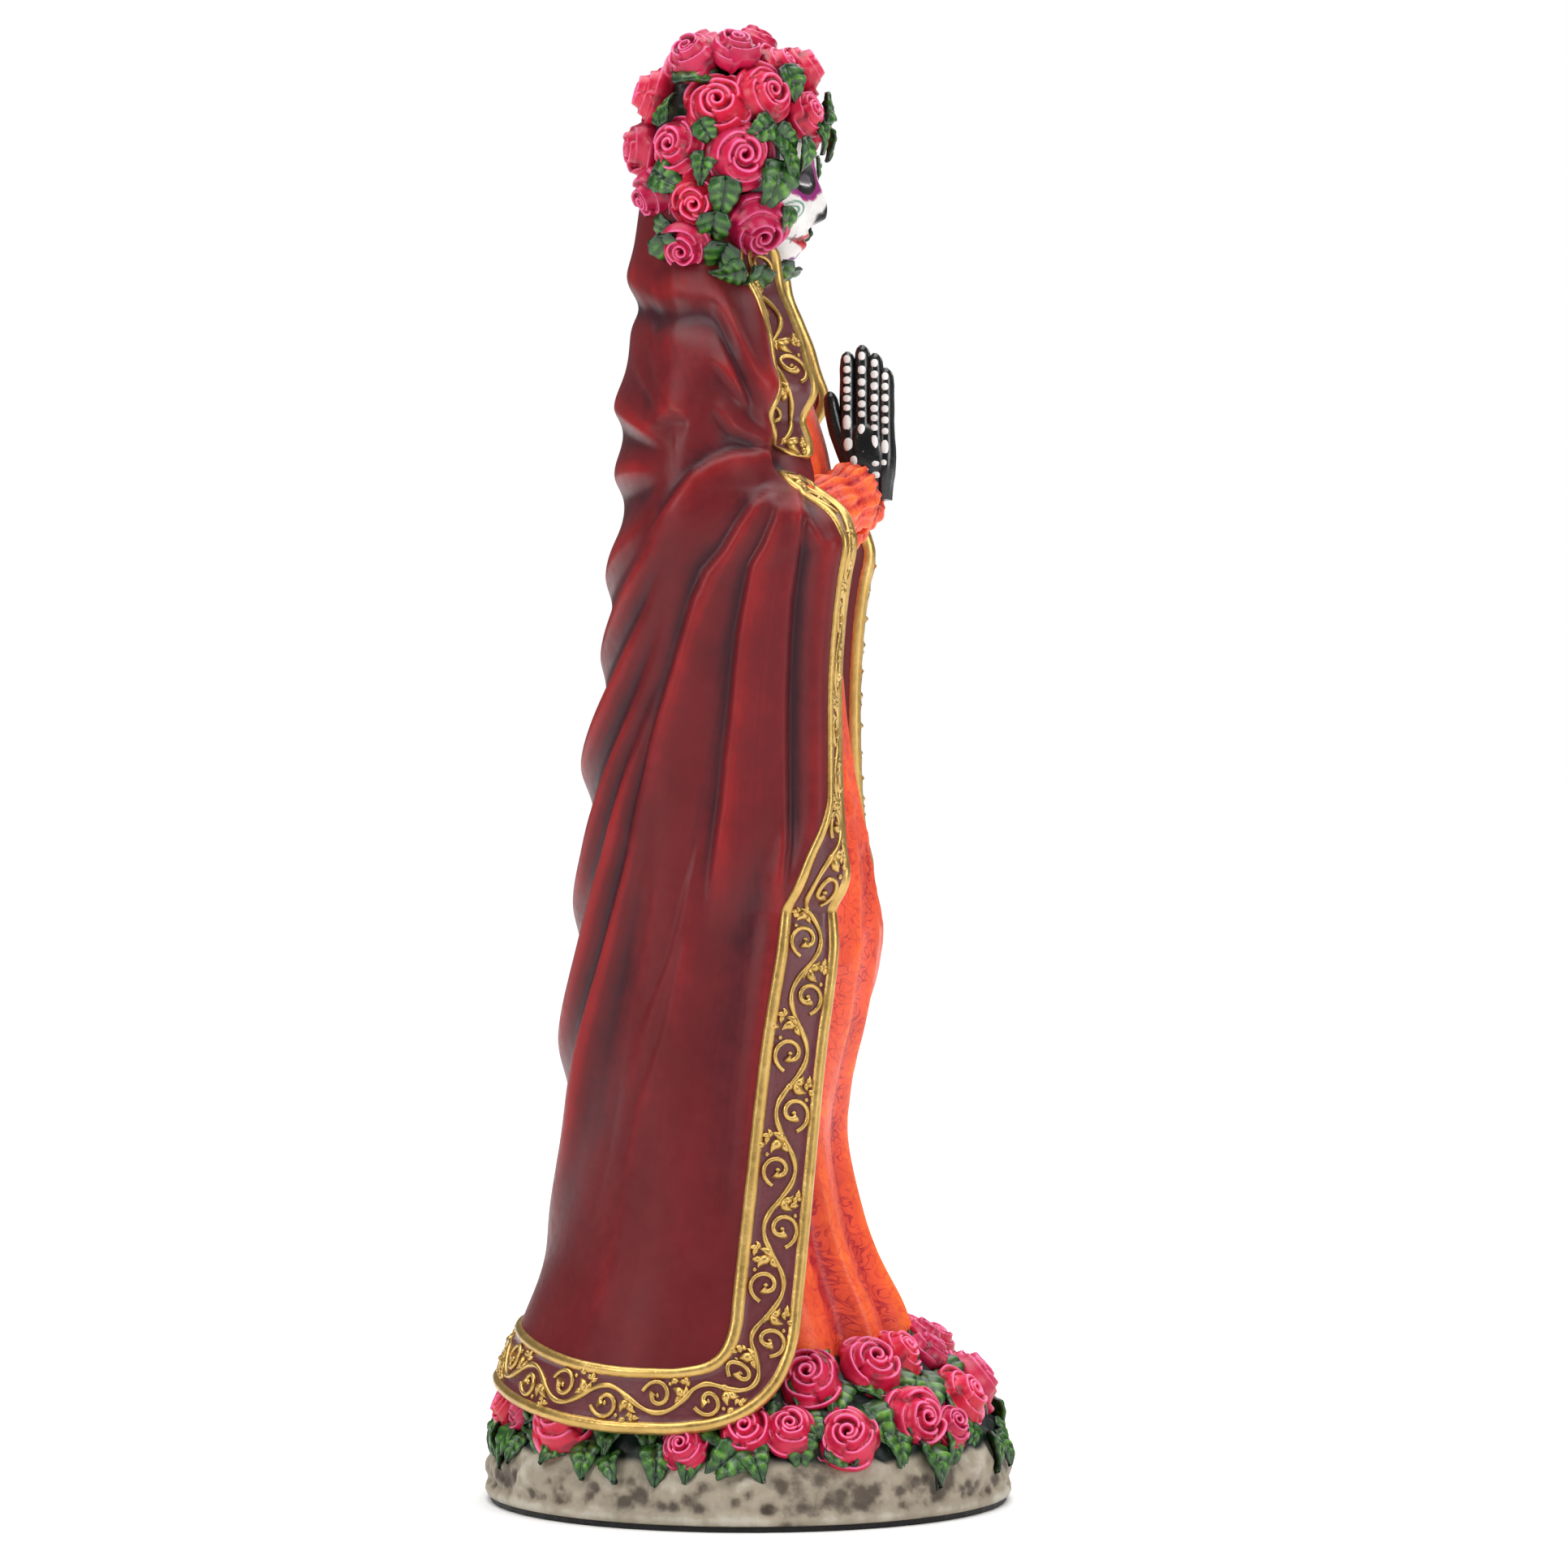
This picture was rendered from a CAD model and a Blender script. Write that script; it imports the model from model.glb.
# A painted cast-resin figurine of a Day of the Dead Virgin, dressed over its CAD frame.
# Lengths in the tables are millimetres. Shapes are worked out in figure terms: forward (towards -Y),
# side (towards the figure's right, -X) and height, as in the part's source.

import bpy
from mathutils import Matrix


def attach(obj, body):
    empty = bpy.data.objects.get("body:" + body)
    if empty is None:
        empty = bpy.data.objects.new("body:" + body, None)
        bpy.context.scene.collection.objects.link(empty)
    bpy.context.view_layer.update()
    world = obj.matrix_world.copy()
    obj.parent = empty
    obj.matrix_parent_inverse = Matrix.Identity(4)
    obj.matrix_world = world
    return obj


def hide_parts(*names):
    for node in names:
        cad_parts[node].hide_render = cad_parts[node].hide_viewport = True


bl_info = {
    "name": "Day of the Dead Virgin figurine",
    "version": (1, 0, 0),
    "blender": (4, 5, 0),
    "location": "3D View > Sidebar > Figurine",
    "description": "Builds the painted figurine, piece by piece, and its studio",
    "category": "Object",
}

import math

import bpy
import numpy as np
from mathutils import Matrix, Vector

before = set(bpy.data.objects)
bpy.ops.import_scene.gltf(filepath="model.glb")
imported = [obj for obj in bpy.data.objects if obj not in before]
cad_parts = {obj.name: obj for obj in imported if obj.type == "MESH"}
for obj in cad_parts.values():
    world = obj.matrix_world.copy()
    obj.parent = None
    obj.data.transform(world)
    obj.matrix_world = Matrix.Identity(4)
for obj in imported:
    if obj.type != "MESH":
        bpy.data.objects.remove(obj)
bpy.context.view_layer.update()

MM = 0.001

# Sizes shared with the part's source
BASE_FORWARD, BASE_SIDE = 52.5, 50.0
PAD_THICKNESS = 1.0
ROCK_EDGE_HEIGHT, BED_RISE = 9.0, 27.0
AXIS_FORWARD = -6.0
MANTLE_TOP = 264.0
HEM_HEIGHT, HEM_BACK_RISE, CORNER_RADIUS = 19.0, 5.0, 20.0
LIP_THICKNESS, LIP_DEGREES = 2.4, 14.0
PINCH_ANGLE, PINCH_HEIGHT = 132.0, 200.0
HEAD_CENTRE = (-0.4, 259.5)
HEAD_HALF = (14.0, 12.3, 18.8)
CROWN_CENTRE = (-3.5, 263.0)
CROWN_HALF = (16.5, 20.8, 23.2)
HAND_THICKNESS, FINGER_RADIUS = 4.4, 1.5
SWAG_TOP, SWAG_SPREAD = 215.0, 60.0
GRID_LEAN, SHARPEST_FOLD = 0.38, 0.8

# height, back edge, half width, closed front, angle of the front edge round from the back
MANTLE_PROFILE = [
    (16, -50, 48, 31, 115), (25, -49.4, 47, 31, 115.5), (36, -44.6, 45.4, 31, 115.5),
    (50, -39.2, 43.4, 31.5, 117), (70, -35.4, 41.6, 31.5, 120), (90, -34.8, 40.2, 31.5, 123.5),
    (108, -32.8, 39.3, 31.5, 128), (115, -32.2, 39, 28.6, 132), (120, -31.8, 38.9, 25.4, 136),
    (127, -31.2, 38.6, 21.4, 143), (134, -31, 38.4, 20.2, 148), (145, -30.4, 38.2, 19.6, 150),
    (160, -28, 38.4, 19.5, 150.5), (172, -26.6, 38.8, 20.2, 151), (180, -26, 39.1, 21.2, 151),
    (187, -25.7, 39.2, 22.4, 150.5), (192, -25.4, 38.9, 21.6, 150.5), (196, -25.3, 38.1, 18.8, 152),
    (200, -25.3, 37, 14.8, 155), (204, -25.5, 35.9, 11.2, 158), (209, -25.6, 34.5, 9.6, 159.5),
    (218, -25.4, 32.2, 9.2, 160.5), (226, -24.8, 29, 8, 160.5), (232, -24.6, 25.2, 6.4, 159.5),
    (238, -24.2, 20.7, 5, 157), (247, -22.5, 17.8, 5.5, 150), (266, -20, 16.5, 8, 132),
]
# height, how far the mantle's edge turns forward over the chest
LAPEL = [(198, 0), (203, 3), (209, 4.3), (226, 4.2), (232, 3.6), (238, 2.8), (247, 2), (266, 0)]
# height at the middle of the back, depth there, depth near the arm, width
SWAGS = [
    (300, 0.2, 0.9, 0.16), (215, 2.2, 2.2, 0.085), (201, 2.2, 1.2, 0.075), (181, 3.2, 1.4, 0.085),
    (165.5, 3.0, 3.2, 0.08), (144, 3.8, 1.4, 0.08), (117, 3.8, 1.2, 0.075), (90, 4.0, 3.4, 0.08),
    (57, 4.0, 2.0, 0.08), (-100, 0.8, 2.8, 0.2), (-330, 0.2, 1.2, 0.2), (-800, 0.2, 2.6, 0.28),
]
# Fold lines on the side of the mantle, from the gather outwards: height of the step across the
# line, how far it dies out in front or below and behind or above, softness, then the line itself
# as forward and height
FOLDS = [
    (1.5, 5, 6, 0.8, [(10, 200), (6.9, 196.6), (4.1, 193.5), (1.5, 189.5), (-1.2, 184.9), (-4.6, 180.9),
                      (-7, 175.7), (-8.7, 170), (-10.9, 162.8), (-13.4, 155.4), (-15.5, 148.5),
                      (-17.6, 140.3), (-20.5, 132.2), (-24.5, 123.6), (-27.9, 115.7), (-30.5, 109.3)]),
    (1.4, 5.5, 4, 0.8, [(9, 204.5), (4.9, 204.7), (-0.1, 203.8), (-3.8, 202.3), (-7.3, 199.9),
                        (-10.2, 196.4), (-13.1, 192.5), (-15.9, 188.6), (-18.8, 185), (-22.3, 180.9),
                        (-27.3, 176.7)]),
    (1.4, 6, 3.5, 0.7, [(10, 198), (8.4, 190.7), (6.5, 186.1), (4.1, 182), (2.9, 176.1), (1.6, 169.2),
                        (0.8, 161.5), (0.1, 153.8), (-0.9, 146.1), (-1.6, 137.7), (-2.8, 129.2),
                        (-4, 120), (-5.5, 110.8)]),
    (-1.5, 3.2, 5, 0.7, [(12, 199), (14, 192), (13.8, 187.6), (12.9, 181.5), (12, 175.4), (11.5, 167.7),
                         (11.1, 158.4), (11, 149.2), (11.1, 140), (11.2, 129.2), (10.1, 120),
                         (8.8, 110.7)]),
    (-1.4, 4, 4, 0.9, [(12, 198), (15.2, 192), (17.2, 188.4), (18.4, 185.4)]),
    (-1.1, 5, 4, 0.8, [(8.4, 205), (5.3, 209.3), (2.8, 212.9), (0.3, 216.2), (-2.3, 219.3), (-5.5, 222.2)]),
    (-1, 3.5, 3, 0.7, [(8, 204.6), (3.4, 206.5), (-0.2, 208.2), (-2.5, 210.8), (-4.6, 213)]),
    (-0.9, 4, 3.5, 0.9, [(-7.9, 210.3), (-11.9, 211), (-16.1, 209.2), (-18.9, 206.1), (-22.1, 204.2)]),
    (0.5, 4, 3, 0.8, [(-4.7, 137.7), (-6.2, 129.2), (-8.2, 121.5), (-9.6, 114.6), (-11.8, 106.9),
                      (-15.2, 98.4), (-18.4, 89.9), (-21.4, 82.1), (-23.7, 73.5)]),
    (0.45, 4, 3, 0.8, [(-8.2, 113.8), (-10.8, 102.3), (-13.2, 92.3), (-15.9, 84.6), (-19.1, 75.3),
                       (-22.4, 65.9), (-25.1, 56.6)]),
    (0.4, 4, 3, 0.8, [(-15.4, 121.5), (-17, 110.7), (-19.4, 99.9), (-22.3, 90.5), (-26.2, 81)]),
    (0.9, 9, 5, 2.2, [(7.6, 129.2), (6.3, 116.9), (4.6, 101.5), (2.8, 84.7), (1.3, 67.9), (0.4, 49.7)]),
]
# height, front, half width
DRESS_PROFILE = [
    (10, 34, 37), (25, 33, 36.5), (38, 29, 35.5), (46, 25, 34.5), (56, 21.4, 33.5),
    (71, 18.6, 32.5), (82, 19.6, 31.5), (95, 22.6, 30.5), (110, 24.4, 29.5), (125, 23.4, 28.2),
    (150, 19.5, 27), (175, 17.2, 25), (195, 17, 23), (206, 15.4, 21), (217, 12, 19),
    (226, 9.4, 16), (234, 6.6, 11.5), (240, 5.6, 8.6), (252, 6, 8),
]
# forward, height, radius, on the figure's right side
CROWN_ROSES = [
    (-9.6, 282.2, 5.4), (-1, 283.6, 5), (7.4, 281, 4.6), (5, 274.4, 5.6), (12.3, 272, 4.6),
    (-3.9, 271.8, 5.8), (-18.6, 275.6, 5.2), (-21, 265.4, 5.2), (-12.2, 264, 5.6),
    (0.6, 261.9, 6.2), (-8.1, 253.4, 5.4), (-18, 255, 5), (3.6, 248.1, 6.4), (-10.7, 244.4, 5),
]
CROWN_MIDDLE_ROSES = [(1.4, 287, 4.8), (11.4, 281.6, 4.8), (-9.4, 286, 4.8)]
# forward, height, which way the tip points (degrees above forward), length
CROWN_LEAVES = [
    (-15, 271, 100, 6), (-9, 278.5, 0, 8), (9.5, 277.5, -50, 6.5), (5, 267, -150, 6),
    (9, 265.5, -20, 6), (16, 273, 0, 6), (15.5, 268, -20, 6), (9.5, 262, -60, 6),
    (12.5, 263.5, -40, 6), (7.5, 257, -105, 8), (-6, 266.5, -60, 5.5), (-6.5, 260, -100, 5.5),
    (-14.5, 258, -30, 6.5), (-2.6, 254.5, -90, 6.5), (-5, 248.3, -90, 7), (-14.8, 248, -140, 6.5),
    (-14, 244.5, -80, 6.5), (-3.4, 242.5, -110, 7), (-1.2, 239.3, -165, 6.5), (3, 238.3, -90, 7),
    (6.6, 241, -60, 6.5), (9, 250, -75, 5.5),
]
# forward, side, radius, on the figure's right side
BASE_ROSES = [
    (-32.7, 33.5, 6.6), (-46.6, 10, 4.4), (-42, 20.6, 4.2), (-8, 46.6, 4.2), (3.4, 45.4, 5.2),
    (14.6, 36.4, 6), (11.8, 44, 4.6), (26.3, 27.6, 6), (31.4, 18.6, 4.8), (22.6, 41.4, 5.6),
    (35.5, 30.4, 6), (43.6, 13.6, 5.6), (41.4, 24, 4.4), (36.4, 8.6, 4.6),
]
BASE_MIDDLE_ROSES = [(44.6, 6.4), (35, 4.6), (-48.4, 4.4)]
# forward, forward at the wrist, heights of the knuckle and the tip, index finger first
FINGERS = [
    (19.7, 22.6, 208, 225.6), (22.6, 24, 208, 226.9), (25.1, 25.4, 207, 225.3), (27.2, 26.6, 206, 222.4)]
# bones painted on each finger and on its part of the wrist: height, half width, half height
FINGER_BONES = [
    [(224, 0.75, 0.85), (222, 0.8, 0.75), (219.9, 0.85, 0.8), (218, 0.8, 0.7), (216.3, 0.85, 0.7),
     (214.5, 0.8, 0.7), (211.3, 0.9, 1.8), (207.2, 0.95, 1.35), (204, 0.8, 1.0)],
    [(224.6, 0.75, 0.9), (221.9, 0.85, 0.9), (219.5, 0.85, 0.8), (217.3, 0.8, 0.8), (215.2, 0.85, 0.75),
     (213.2, 0.8, 0.7), (209.6, 0.85, 1.7), (205.7, 0.85, 1.2), (202.3, 0.9, 0.6)],
    [(223.2, 0.75, 0.85), (221, 0.8, 0.8), (218.7, 0.85, 0.85), (216.4, 0.8, 0.8), (214.3, 0.85, 0.75),
     (212.4, 0.8, 0.7), (210.5, 0.8, 0.7), (207.3, 0.85, 1.75), (203.4, 1.0, 0.6), (201.2, 1.1, 0.7)],
    [(220.6, 0.7, 0.8), (218.6, 0.75, 0.75), (216.4, 0.8, 0.8), (214.2, 0.75, 0.75), (212, 0.8, 0.75),
     (209.8, 0.75, 0.7), (206.6, 0.8, 1.5), (203.6, 0.6, 0.6)],
]
SLEEVE_PATH = [(-4, 29, 187), (8, 23.5, 190), (17, 13, 194.5), (22.4, 5, 199)]


# ---------------------------------------------------------------- settings

def length(name, about, millimetres):
    return bpy.props.FloatProperty(
        name=name, description=about, default=millimetres * MM, min=0, unit="LENGTH", precision=4)


def colour(name, about, red, green, blue):
    return bpy.props.FloatVectorProperty(
        name=name, description=about, default=(red, green, blue), min=0, max=1, subtype="COLOR")


class FigurineSizes(bpy.types.PropertyGroup):
    border_width: length("Border width", "From the mantle's edge line to its inner line", 10.6)
    border_line: length("Gold line", "Half width of the border's two gold lines", 0.95)
    vine_thickness: length("Vine", "Radius of the gold vine's stem", 0.52)
    vine_wave: length("Vine wave", "Length of one wave of the vine", 22)
    petal_thickness: length("Petal thickness", "Thickness of a petal's lip", 0.4)
    rim_leaf: length("Base leaf", "Length of a leaf on the base", 8.5)
    pit_depth: length("Rock pits", "Depth of the deepest pits in the rock", 0.7)


class FigurineColours(bpy.types.PropertyGroup):
    mantle: colour("Mantle", "Burgundy body colour of the mantle", 0.125, 0.012, 0.015)
    mantle_crest: colour("Mantle crest", "Red brushed on the fold tops", 0.26, 0.014, 0.016)
    mantle_valley: colour("Mantle valley", "Plum wash in the folds", 0.045, 0.011, 0.016)
    gold: colour("Gold", "Gold paint of the borders", 0.58, 0.37, 0.11)
    gold_wash: colour("Gold wash", "Brown wash in the gold's hollows", 0.13, 0.06, 0.02)
    border_ground: colour("Border ground", "Dark red behind the vine", 0.085, 0.016, 0.020)
    dress: colour("Dress", "Vermilion of the dress and sleeves", 0.80, 0.085, 0.035)
    dress_light: colour("Dress light", "Orange brushed over the folds", 0.95, 0.17, 0.03)
    dress_deep: colour("Dress deep", "Crimson in the dress's folds", 0.42, 0.018, 0.028)
    petal: colour("Petal", "Crimson of the roses", 0.60, 0.014, 0.036)
    petal_deep: colour("Petal deep", "Dark crimson between the petals", 0.20, 0.003, 0.010)
    petal_rim: colour("Petal rim", "Pearl pink brushed on the petals' lips", 0.85, 0.17, 0.36)
    leaf: colour("Leaf", "Green of the leaves", 0.020, 0.085, 0.012)
    leaf_deep: colour("Leaf deep", "Near-black green between the ribs", 0.004, 0.012, 0.009)
    leaf_light: colour("Leaf light", "Grass green brushed on the ribs", 0.13, 0.33, 0.03)
    rock: colour("Rock", "Grey-beige of the rock", 0.33, 0.28, 0.205)
    rock_deep: colour("Rock deep", "Brown wash in the rock's pits", 0.085, 0.062, 0.042)
    rock_light: colour("Rock light", "Pale dry brushing on the rock", 0.48, 0.44, 0.36)
    bone: colour("Bone", "White of the painted bones and the face", 0.82, 0.80, 0.78)
    black: colour("Black", "Black of the hands, the eyes and the nose", 0.008, 0.008, 0.009)
    violet: colour("Violet", "Violet petals painted on the face", 0.16, 0.02, 0.20)
    magenta: colour("Magenta", "Ring of petals round the eyes", 0.36, 0.02, 0.16)
    lip: colour("Lip", "Red of the lips", 0.55, 0.02, 0.03)
    curl: colour("Curl", "Green curls painted on the cheeks", 0.03, 0.22, 0.12)
    felt: colour("Felt", "Felt under the base", 0.010, 0.010, 0.011)


class FigurineStage(bpy.types.PropertyGroup):
    distance: length("Camera distance", "From the camera to the figure's middle", 1000)
    height: length("Camera height", "Height of the level camera", 140.6)
    aim: length("Aim", "How far in front of the axis the camera aims", 7.04)
    lens: bpy.props.FloatProperty(
        name="Lens", description="Focal length on a 36 mm sensor", default=116.46, min=1,
        unit="CAMERA")
    azimuth: bpy.props.FloatProperty(
        name="Azimuth", description="Turn of the camera round the figure",
        default=math.radians(275), subtype="ANGLE")
    sky: bpy.props.FloatProperty(
        name="Sky", description="Light from the even white surroundings", default=0.12, min=0)
    key: bpy.props.FloatProperty(
        name="Key light", description="Power of the main soft light", default=4.5, min=0,
        unit="POWER")
    ceiling: bpy.props.FloatProperty(
        name="Ceiling light", description="Strength of the broad light from above", default=3.6, min=0)
    floor: colour("Floor", "Pale floor", 0.92, 0.92, 0.92)


# ---------------------------------------------------------------- curves and places

def smooth(x):
    share = np.clip(x, 0, 1)
    return share * share * (3 - 2 * share)


def bell(x):
    return np.exp(-np.square(x))


def along(rows, height, column):
    """A smooth curve through rows of (height, value, value, ...), read at heights and one column."""
    table = np.asarray(rows, float)
    heights, values = table[:, 0], table[:, column]
    last = len(table) - 1
    h = np.clip(height, heights[0], heights[-1])
    i = np.clip(np.searchsorted(heights, h, side="left") - 1, 0, last - 1)
    low, high = np.maximum(np.arange(last + 1) - 1, 0), np.minimum(np.arange(last + 1) + 1, last)
    slope = (values[high] - values[low]) / (heights[high] - heights[low])
    span = heights[i + 1] - heights[i]
    s = (h - heights[i]) / span
    rise = values[i + 1] - values[i]
    return (values[i] + s * s * (3 - 2 * s) * rise
            + s * (1 - s) * ((1 - s) * slope[i] - s * slope[i + 1]) * span)


def place(forward, side, height):
    forward, side, height = np.broadcast_arrays(forward, side, height)
    return np.stack([-side, -forward, height], axis=-1).astype(float)


def unit(vectors):
    return vectors / np.maximum(np.linalg.norm(vectors, axis=-1, keepdims=True), 1e-9)


def uneven(points, wavelength, seed, waves=14):
    """A smooth random field between about -1 and 1."""
    draw = np.random.default_rng(seed)
    ways = unit(draw.normal(size=(waves, 3))) * draw.uniform(0.6, 1.6, (waves, 1))
    shift = draw.uniform(0, 2 * np.pi, waves)
    turns = points @ ways.T * (2 * np.pi / wavelength) + shift
    return np.sin(turns).sum(-1) / math.sqrt(waves / 2) / 1.6


# ---------------------------------------------------------------- mesh tools

def alone(piece):
    bpy.ops.object.select_all(action="DESELECT")
    piece.select_set(True)
    bpy.context.view_layer.objects.active = piece


def put_attribute(piece, name, values):
    attribute = piece.data.attributes.new(name, "FLOAT", "POINT")
    attribute.data.foreach_set("value", np.asarray(values, np.float32).ravel())


def put_colour(piece, name, values):
    attribute = piece.data.attributes.new(name, "FLOAT_COLOR", "POINT")
    full = np.concatenate([values, np.ones((len(values), 1))], axis=1)
    attribute.data.foreach_set("color", full.astype(np.float32).ravel())


def surface(name, columns, rows, shape, attributes=()):
    """A primitive grid whose points are moved to shape(across, up), both from 0 to 1.

    shape gives points in millimetres, then one array for each name in attributes.
    """
    bpy.ops.object.select_all(action="DESELECT")
    bpy.ops.mesh.primitive_grid_add(x_subdivisions=columns, y_subdivisions=rows, size=2)
    piece = bpy.context.active_object
    piece.name = piece.data.name = name
    flat = np.empty(len(piece.data.vertices) * 3)
    piece.data.vertices.foreach_get("co", flat)
    flat = (flat.reshape(rows + 1, columns + 1, 3) + 1) / 2
    made = shape(flat[..., 0], flat[..., 1])
    points, extra = (made[0], made[1:]) if attributes else (made, ())
    piece.data.vertices.foreach_set("co", (points * MM).ravel())
    for label, values in zip(attributes, extra):
        if values.ndim == points.ndim:
            put_colour(piece, label, values.reshape(-1, 3))
        else:
            put_attribute(piece, label, values)
    piece.data.update()
    return piece


def close_up(piece, gap=0.01, fill=True):
    """Merges seams and poles, fills the ends and turns the faces outwards."""
    alone(piece)
    bpy.ops.object.mode_set(mode="EDIT")
    bpy.ops.mesh.select_mode(type="VERT")
    bpy.ops.mesh.select_all(action="SELECT")
    bpy.ops.mesh.remove_doubles(threshold=gap * MM)
    if fill:
        bpy.ops.mesh.fill_holes(sides=0)
    bpy.ops.mesh.select_all(action="SELECT")
    bpy.ops.mesh.normals_make_consistent(inside=False)
    bpy.ops.object.mode_set(mode="OBJECT")
    bpy.ops.object.shade_smooth()
    return piece


def apply(piece, kind, **settings):
    """Adds one modifier with its settings and applies it."""
    alone(piece)
    modifier = piece.modifiers.new(kind.title(), kind)
    for key, value in settings.items():
        setattr(modifier, key, value)
    bpy.ops.object.modifier_apply(modifier=modifier.name)


def join(pieces, name):
    bpy.ops.object.select_all(action="DESELECT")
    for piece in pieces:
        piece.select_set(True)
    bpy.context.view_layer.objects.active = pieces[0]
    if len(pieces) > 1:
        bpy.ops.object.join()
    whole = bpy.context.active_object
    whole.name = whole.data.name = name
    return whole


def copy_to(model, forward_axis, up_axis, centre, scale):
    """A copy of a model with its own mesh, standing at centre; the axes and centre are figurine
    directions and millimetres, and the model's X and Z lie along them."""
    z = Vector(up_axis).normalized()
    x = Vector(forward_axis)
    x = (x - z * x.dot(z)).normalized()
    y = z.cross(x)
    turn = Matrix((x, y, z)).transposed().to_4x4()
    copy = bpy.data.objects.new(model.name, model.data.copy())
    bpy.context.scene.collection.objects.link(copy)
    copy.data.transform(
        Matrix.Translation(Vector(centre) * MM) @ turn @ Matrix.Scale(scale, 4))
    return copy


def drop(pieces):
    for piece in pieces:
        mesh = piece.data
        bpy.data.objects.remove(piece)
        bpy.data.meshes.remove(mesh)


def hand_over(piece, material):
    """Gives a finished piece its material and its place in the frame."""
    piece.data.materials.clear()
    piece.data.materials.append(material)
    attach(piece, "root")
    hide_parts("figurine")
    return piece


def strokes_mesh(name, strokes, thickness_steps=1):
    """Round strokes, each a list of points in millimetres and of radii, as one closed mesh."""
    drawing = bpy.data.curves.new(name, "CURVE")
    drawing.dimensions = "3D"
    drawing.bevel_depth = MM
    drawing.bevel_resolution = thickness_steps
    drawing.use_fill_caps = True
    for points, radii in strokes:
        spline = drawing.splines.new("POLY")
        spline.points.add(len(points) - 1)
        flat = np.concatenate([np.asarray(points) * MM, np.ones((len(points), 1))], axis=1)
        spline.points.foreach_set("co", flat.ravel())
        spline.points.foreach_set("radius", np.asarray(radii, float))
    piece = bpy.data.objects.new(name, drawing)
    bpy.context.scene.collection.objects.link(piece)
    alone(piece)
    bpy.ops.object.convert(target="MESH")
    return bpy.context.active_object


# ---------------------------------------------------------------- material tools

def node(tree, kind, inputs=(), **settings):
    made = tree.nodes.new("ShaderNode" + kind)
    for key, value in settings.items():
        setattr(made, key, value)
    for key, value in dict(inputs).items():
        if isinstance(value, bpy.types.NodeSocket):
            tree.links.new(value, made.inputs[key])
        else:
            made.inputs[key].default_value = value
    return made


def rgba(value):
    return (*value[:3], 1.0)


def mixed(tree, share, first, second, blend="MIX"):
    made = node(tree, "Mix", data_type="RGBA", blend_type=blend)
    for index, value in ((0, share), (6, first), (7, second)):
        if isinstance(value, bpy.types.NodeSocket):
            tree.links.new(value, made.inputs[index])
        else:
            made.inputs[index].default_value = value
    return made.outputs[2]


def ranged(tree, value, low, high, to_low=0.0, to_high=1.0, style="SMOOTHSTEP"):
    made = node(tree, "MapRange", interpolation_type=style)
    for index, amount in enumerate((value, low, high, to_low, to_high)):
        if isinstance(amount, bpy.types.NodeSocket):
            tree.links.new(amount, made.inputs[index])
        else:
            made.inputs[index].default_value = amount
    return made.outputs[0]


def sums(tree, operation, first, second):
    made = node(tree, "Math", operation=operation)
    for index, amount in enumerate((first, second)):
        if isinstance(amount, bpy.types.NodeSocket):
            tree.links.new(amount, made.inputs[index])
        else:
            made.inputs[index].default_value = amount
    return made.outputs[0]


def paint_group():
    """Hand painting in three tones: a wash in the hollows, a body colour and a dry-brushed light.

    Relief is 0 in a hollow and 1 on a crest, and brush marks carry each tone over its border.
    """
    name = "Hand painted"
    if name in bpy.data.node_groups:
        return bpy.data.node_groups[name]
    tree = bpy.data.node_groups.new(name, "ShaderNodeTree")
    sockets = (
        ("Body", "NodeSocketColor"), ("Wash", "NodeSocketColor"), ("Light", "NodeSocketColor"),
        ("Relief", "NodeSocketFloat"), ("Marks", "NodeSocketFloat"), ("Mark size", "NodeSocketFloat"),
    )
    for label, kind in sockets:
        tree.interface.new_socket(label, in_out="INPUT", socket_type=kind)
    for label, kind in (("Color", "NodeSocketColor"), ("Gloss change", "NodeSocketFloat"),
                        ("Height", "NodeSocketFloat")):
        tree.interface.new_socket(label, in_out="OUTPUT", socket_type=kind)
    given = tree.nodes.new("NodeGroupInput")
    result = tree.nodes.new("NodeGroupOutput")
    where = node(tree, "TexCoord").outputs["Object"]
    broad = node(tree, "TexNoise", {
        "Vector": where, "Scale": given.outputs["Mark size"], "Detail": 5.0, "Roughness": 0.62})
    fine_scale = sums(tree, "MULTIPLY", given.outputs["Mark size"], 6.0)
    fine = node(tree, "TexNoise", {
        "Vector": where, "Scale": fine_scale, "Detail": 3.0, "Roughness": 0.6})
    swing = sums(tree, "SUBTRACT", broad.outputs["Fac"], 0.5)
    grit = sums(tree, "MULTIPLY", sums(tree, "SUBTRACT", fine.outputs["Fac"], 0.5), 0.45)
    marks = sums(tree, "MULTIPLY", sums(tree, "ADD", swing, grit), given.outputs["Marks"])
    level = sums(tree, "ADD", given.outputs["Relief"], marks)
    dark = mixed(tree, ranged(tree, level, 0.05, 0.5), given.outputs["Wash"], given.outputs["Body"])
    tone = mixed(tree, ranged(tree, level, 0.5, 1.0), dark, given.outputs["Light"])
    mottle = ranged(tree, broad.outputs["Fac"], 0.25, 0.75, 0.9, 1.1)
    bright = node(tree, "HueSaturation", {"Color": tone, "Value": mottle})
    tree.links.new(bright.outputs["Color"], result.inputs["Color"])
    tree.links.new(ranged(tree, fine.outputs["Fac"], 0.2, 0.8, -0.07, 0.07), result.inputs[1])
    height = sums(tree, "ADD", sums(tree, "MULTIPLY", fine.outputs["Fac"], 0.6), broad.outputs["Fac"])
    tree.links.new(height, result.inputs["Height"])
    return tree


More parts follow.
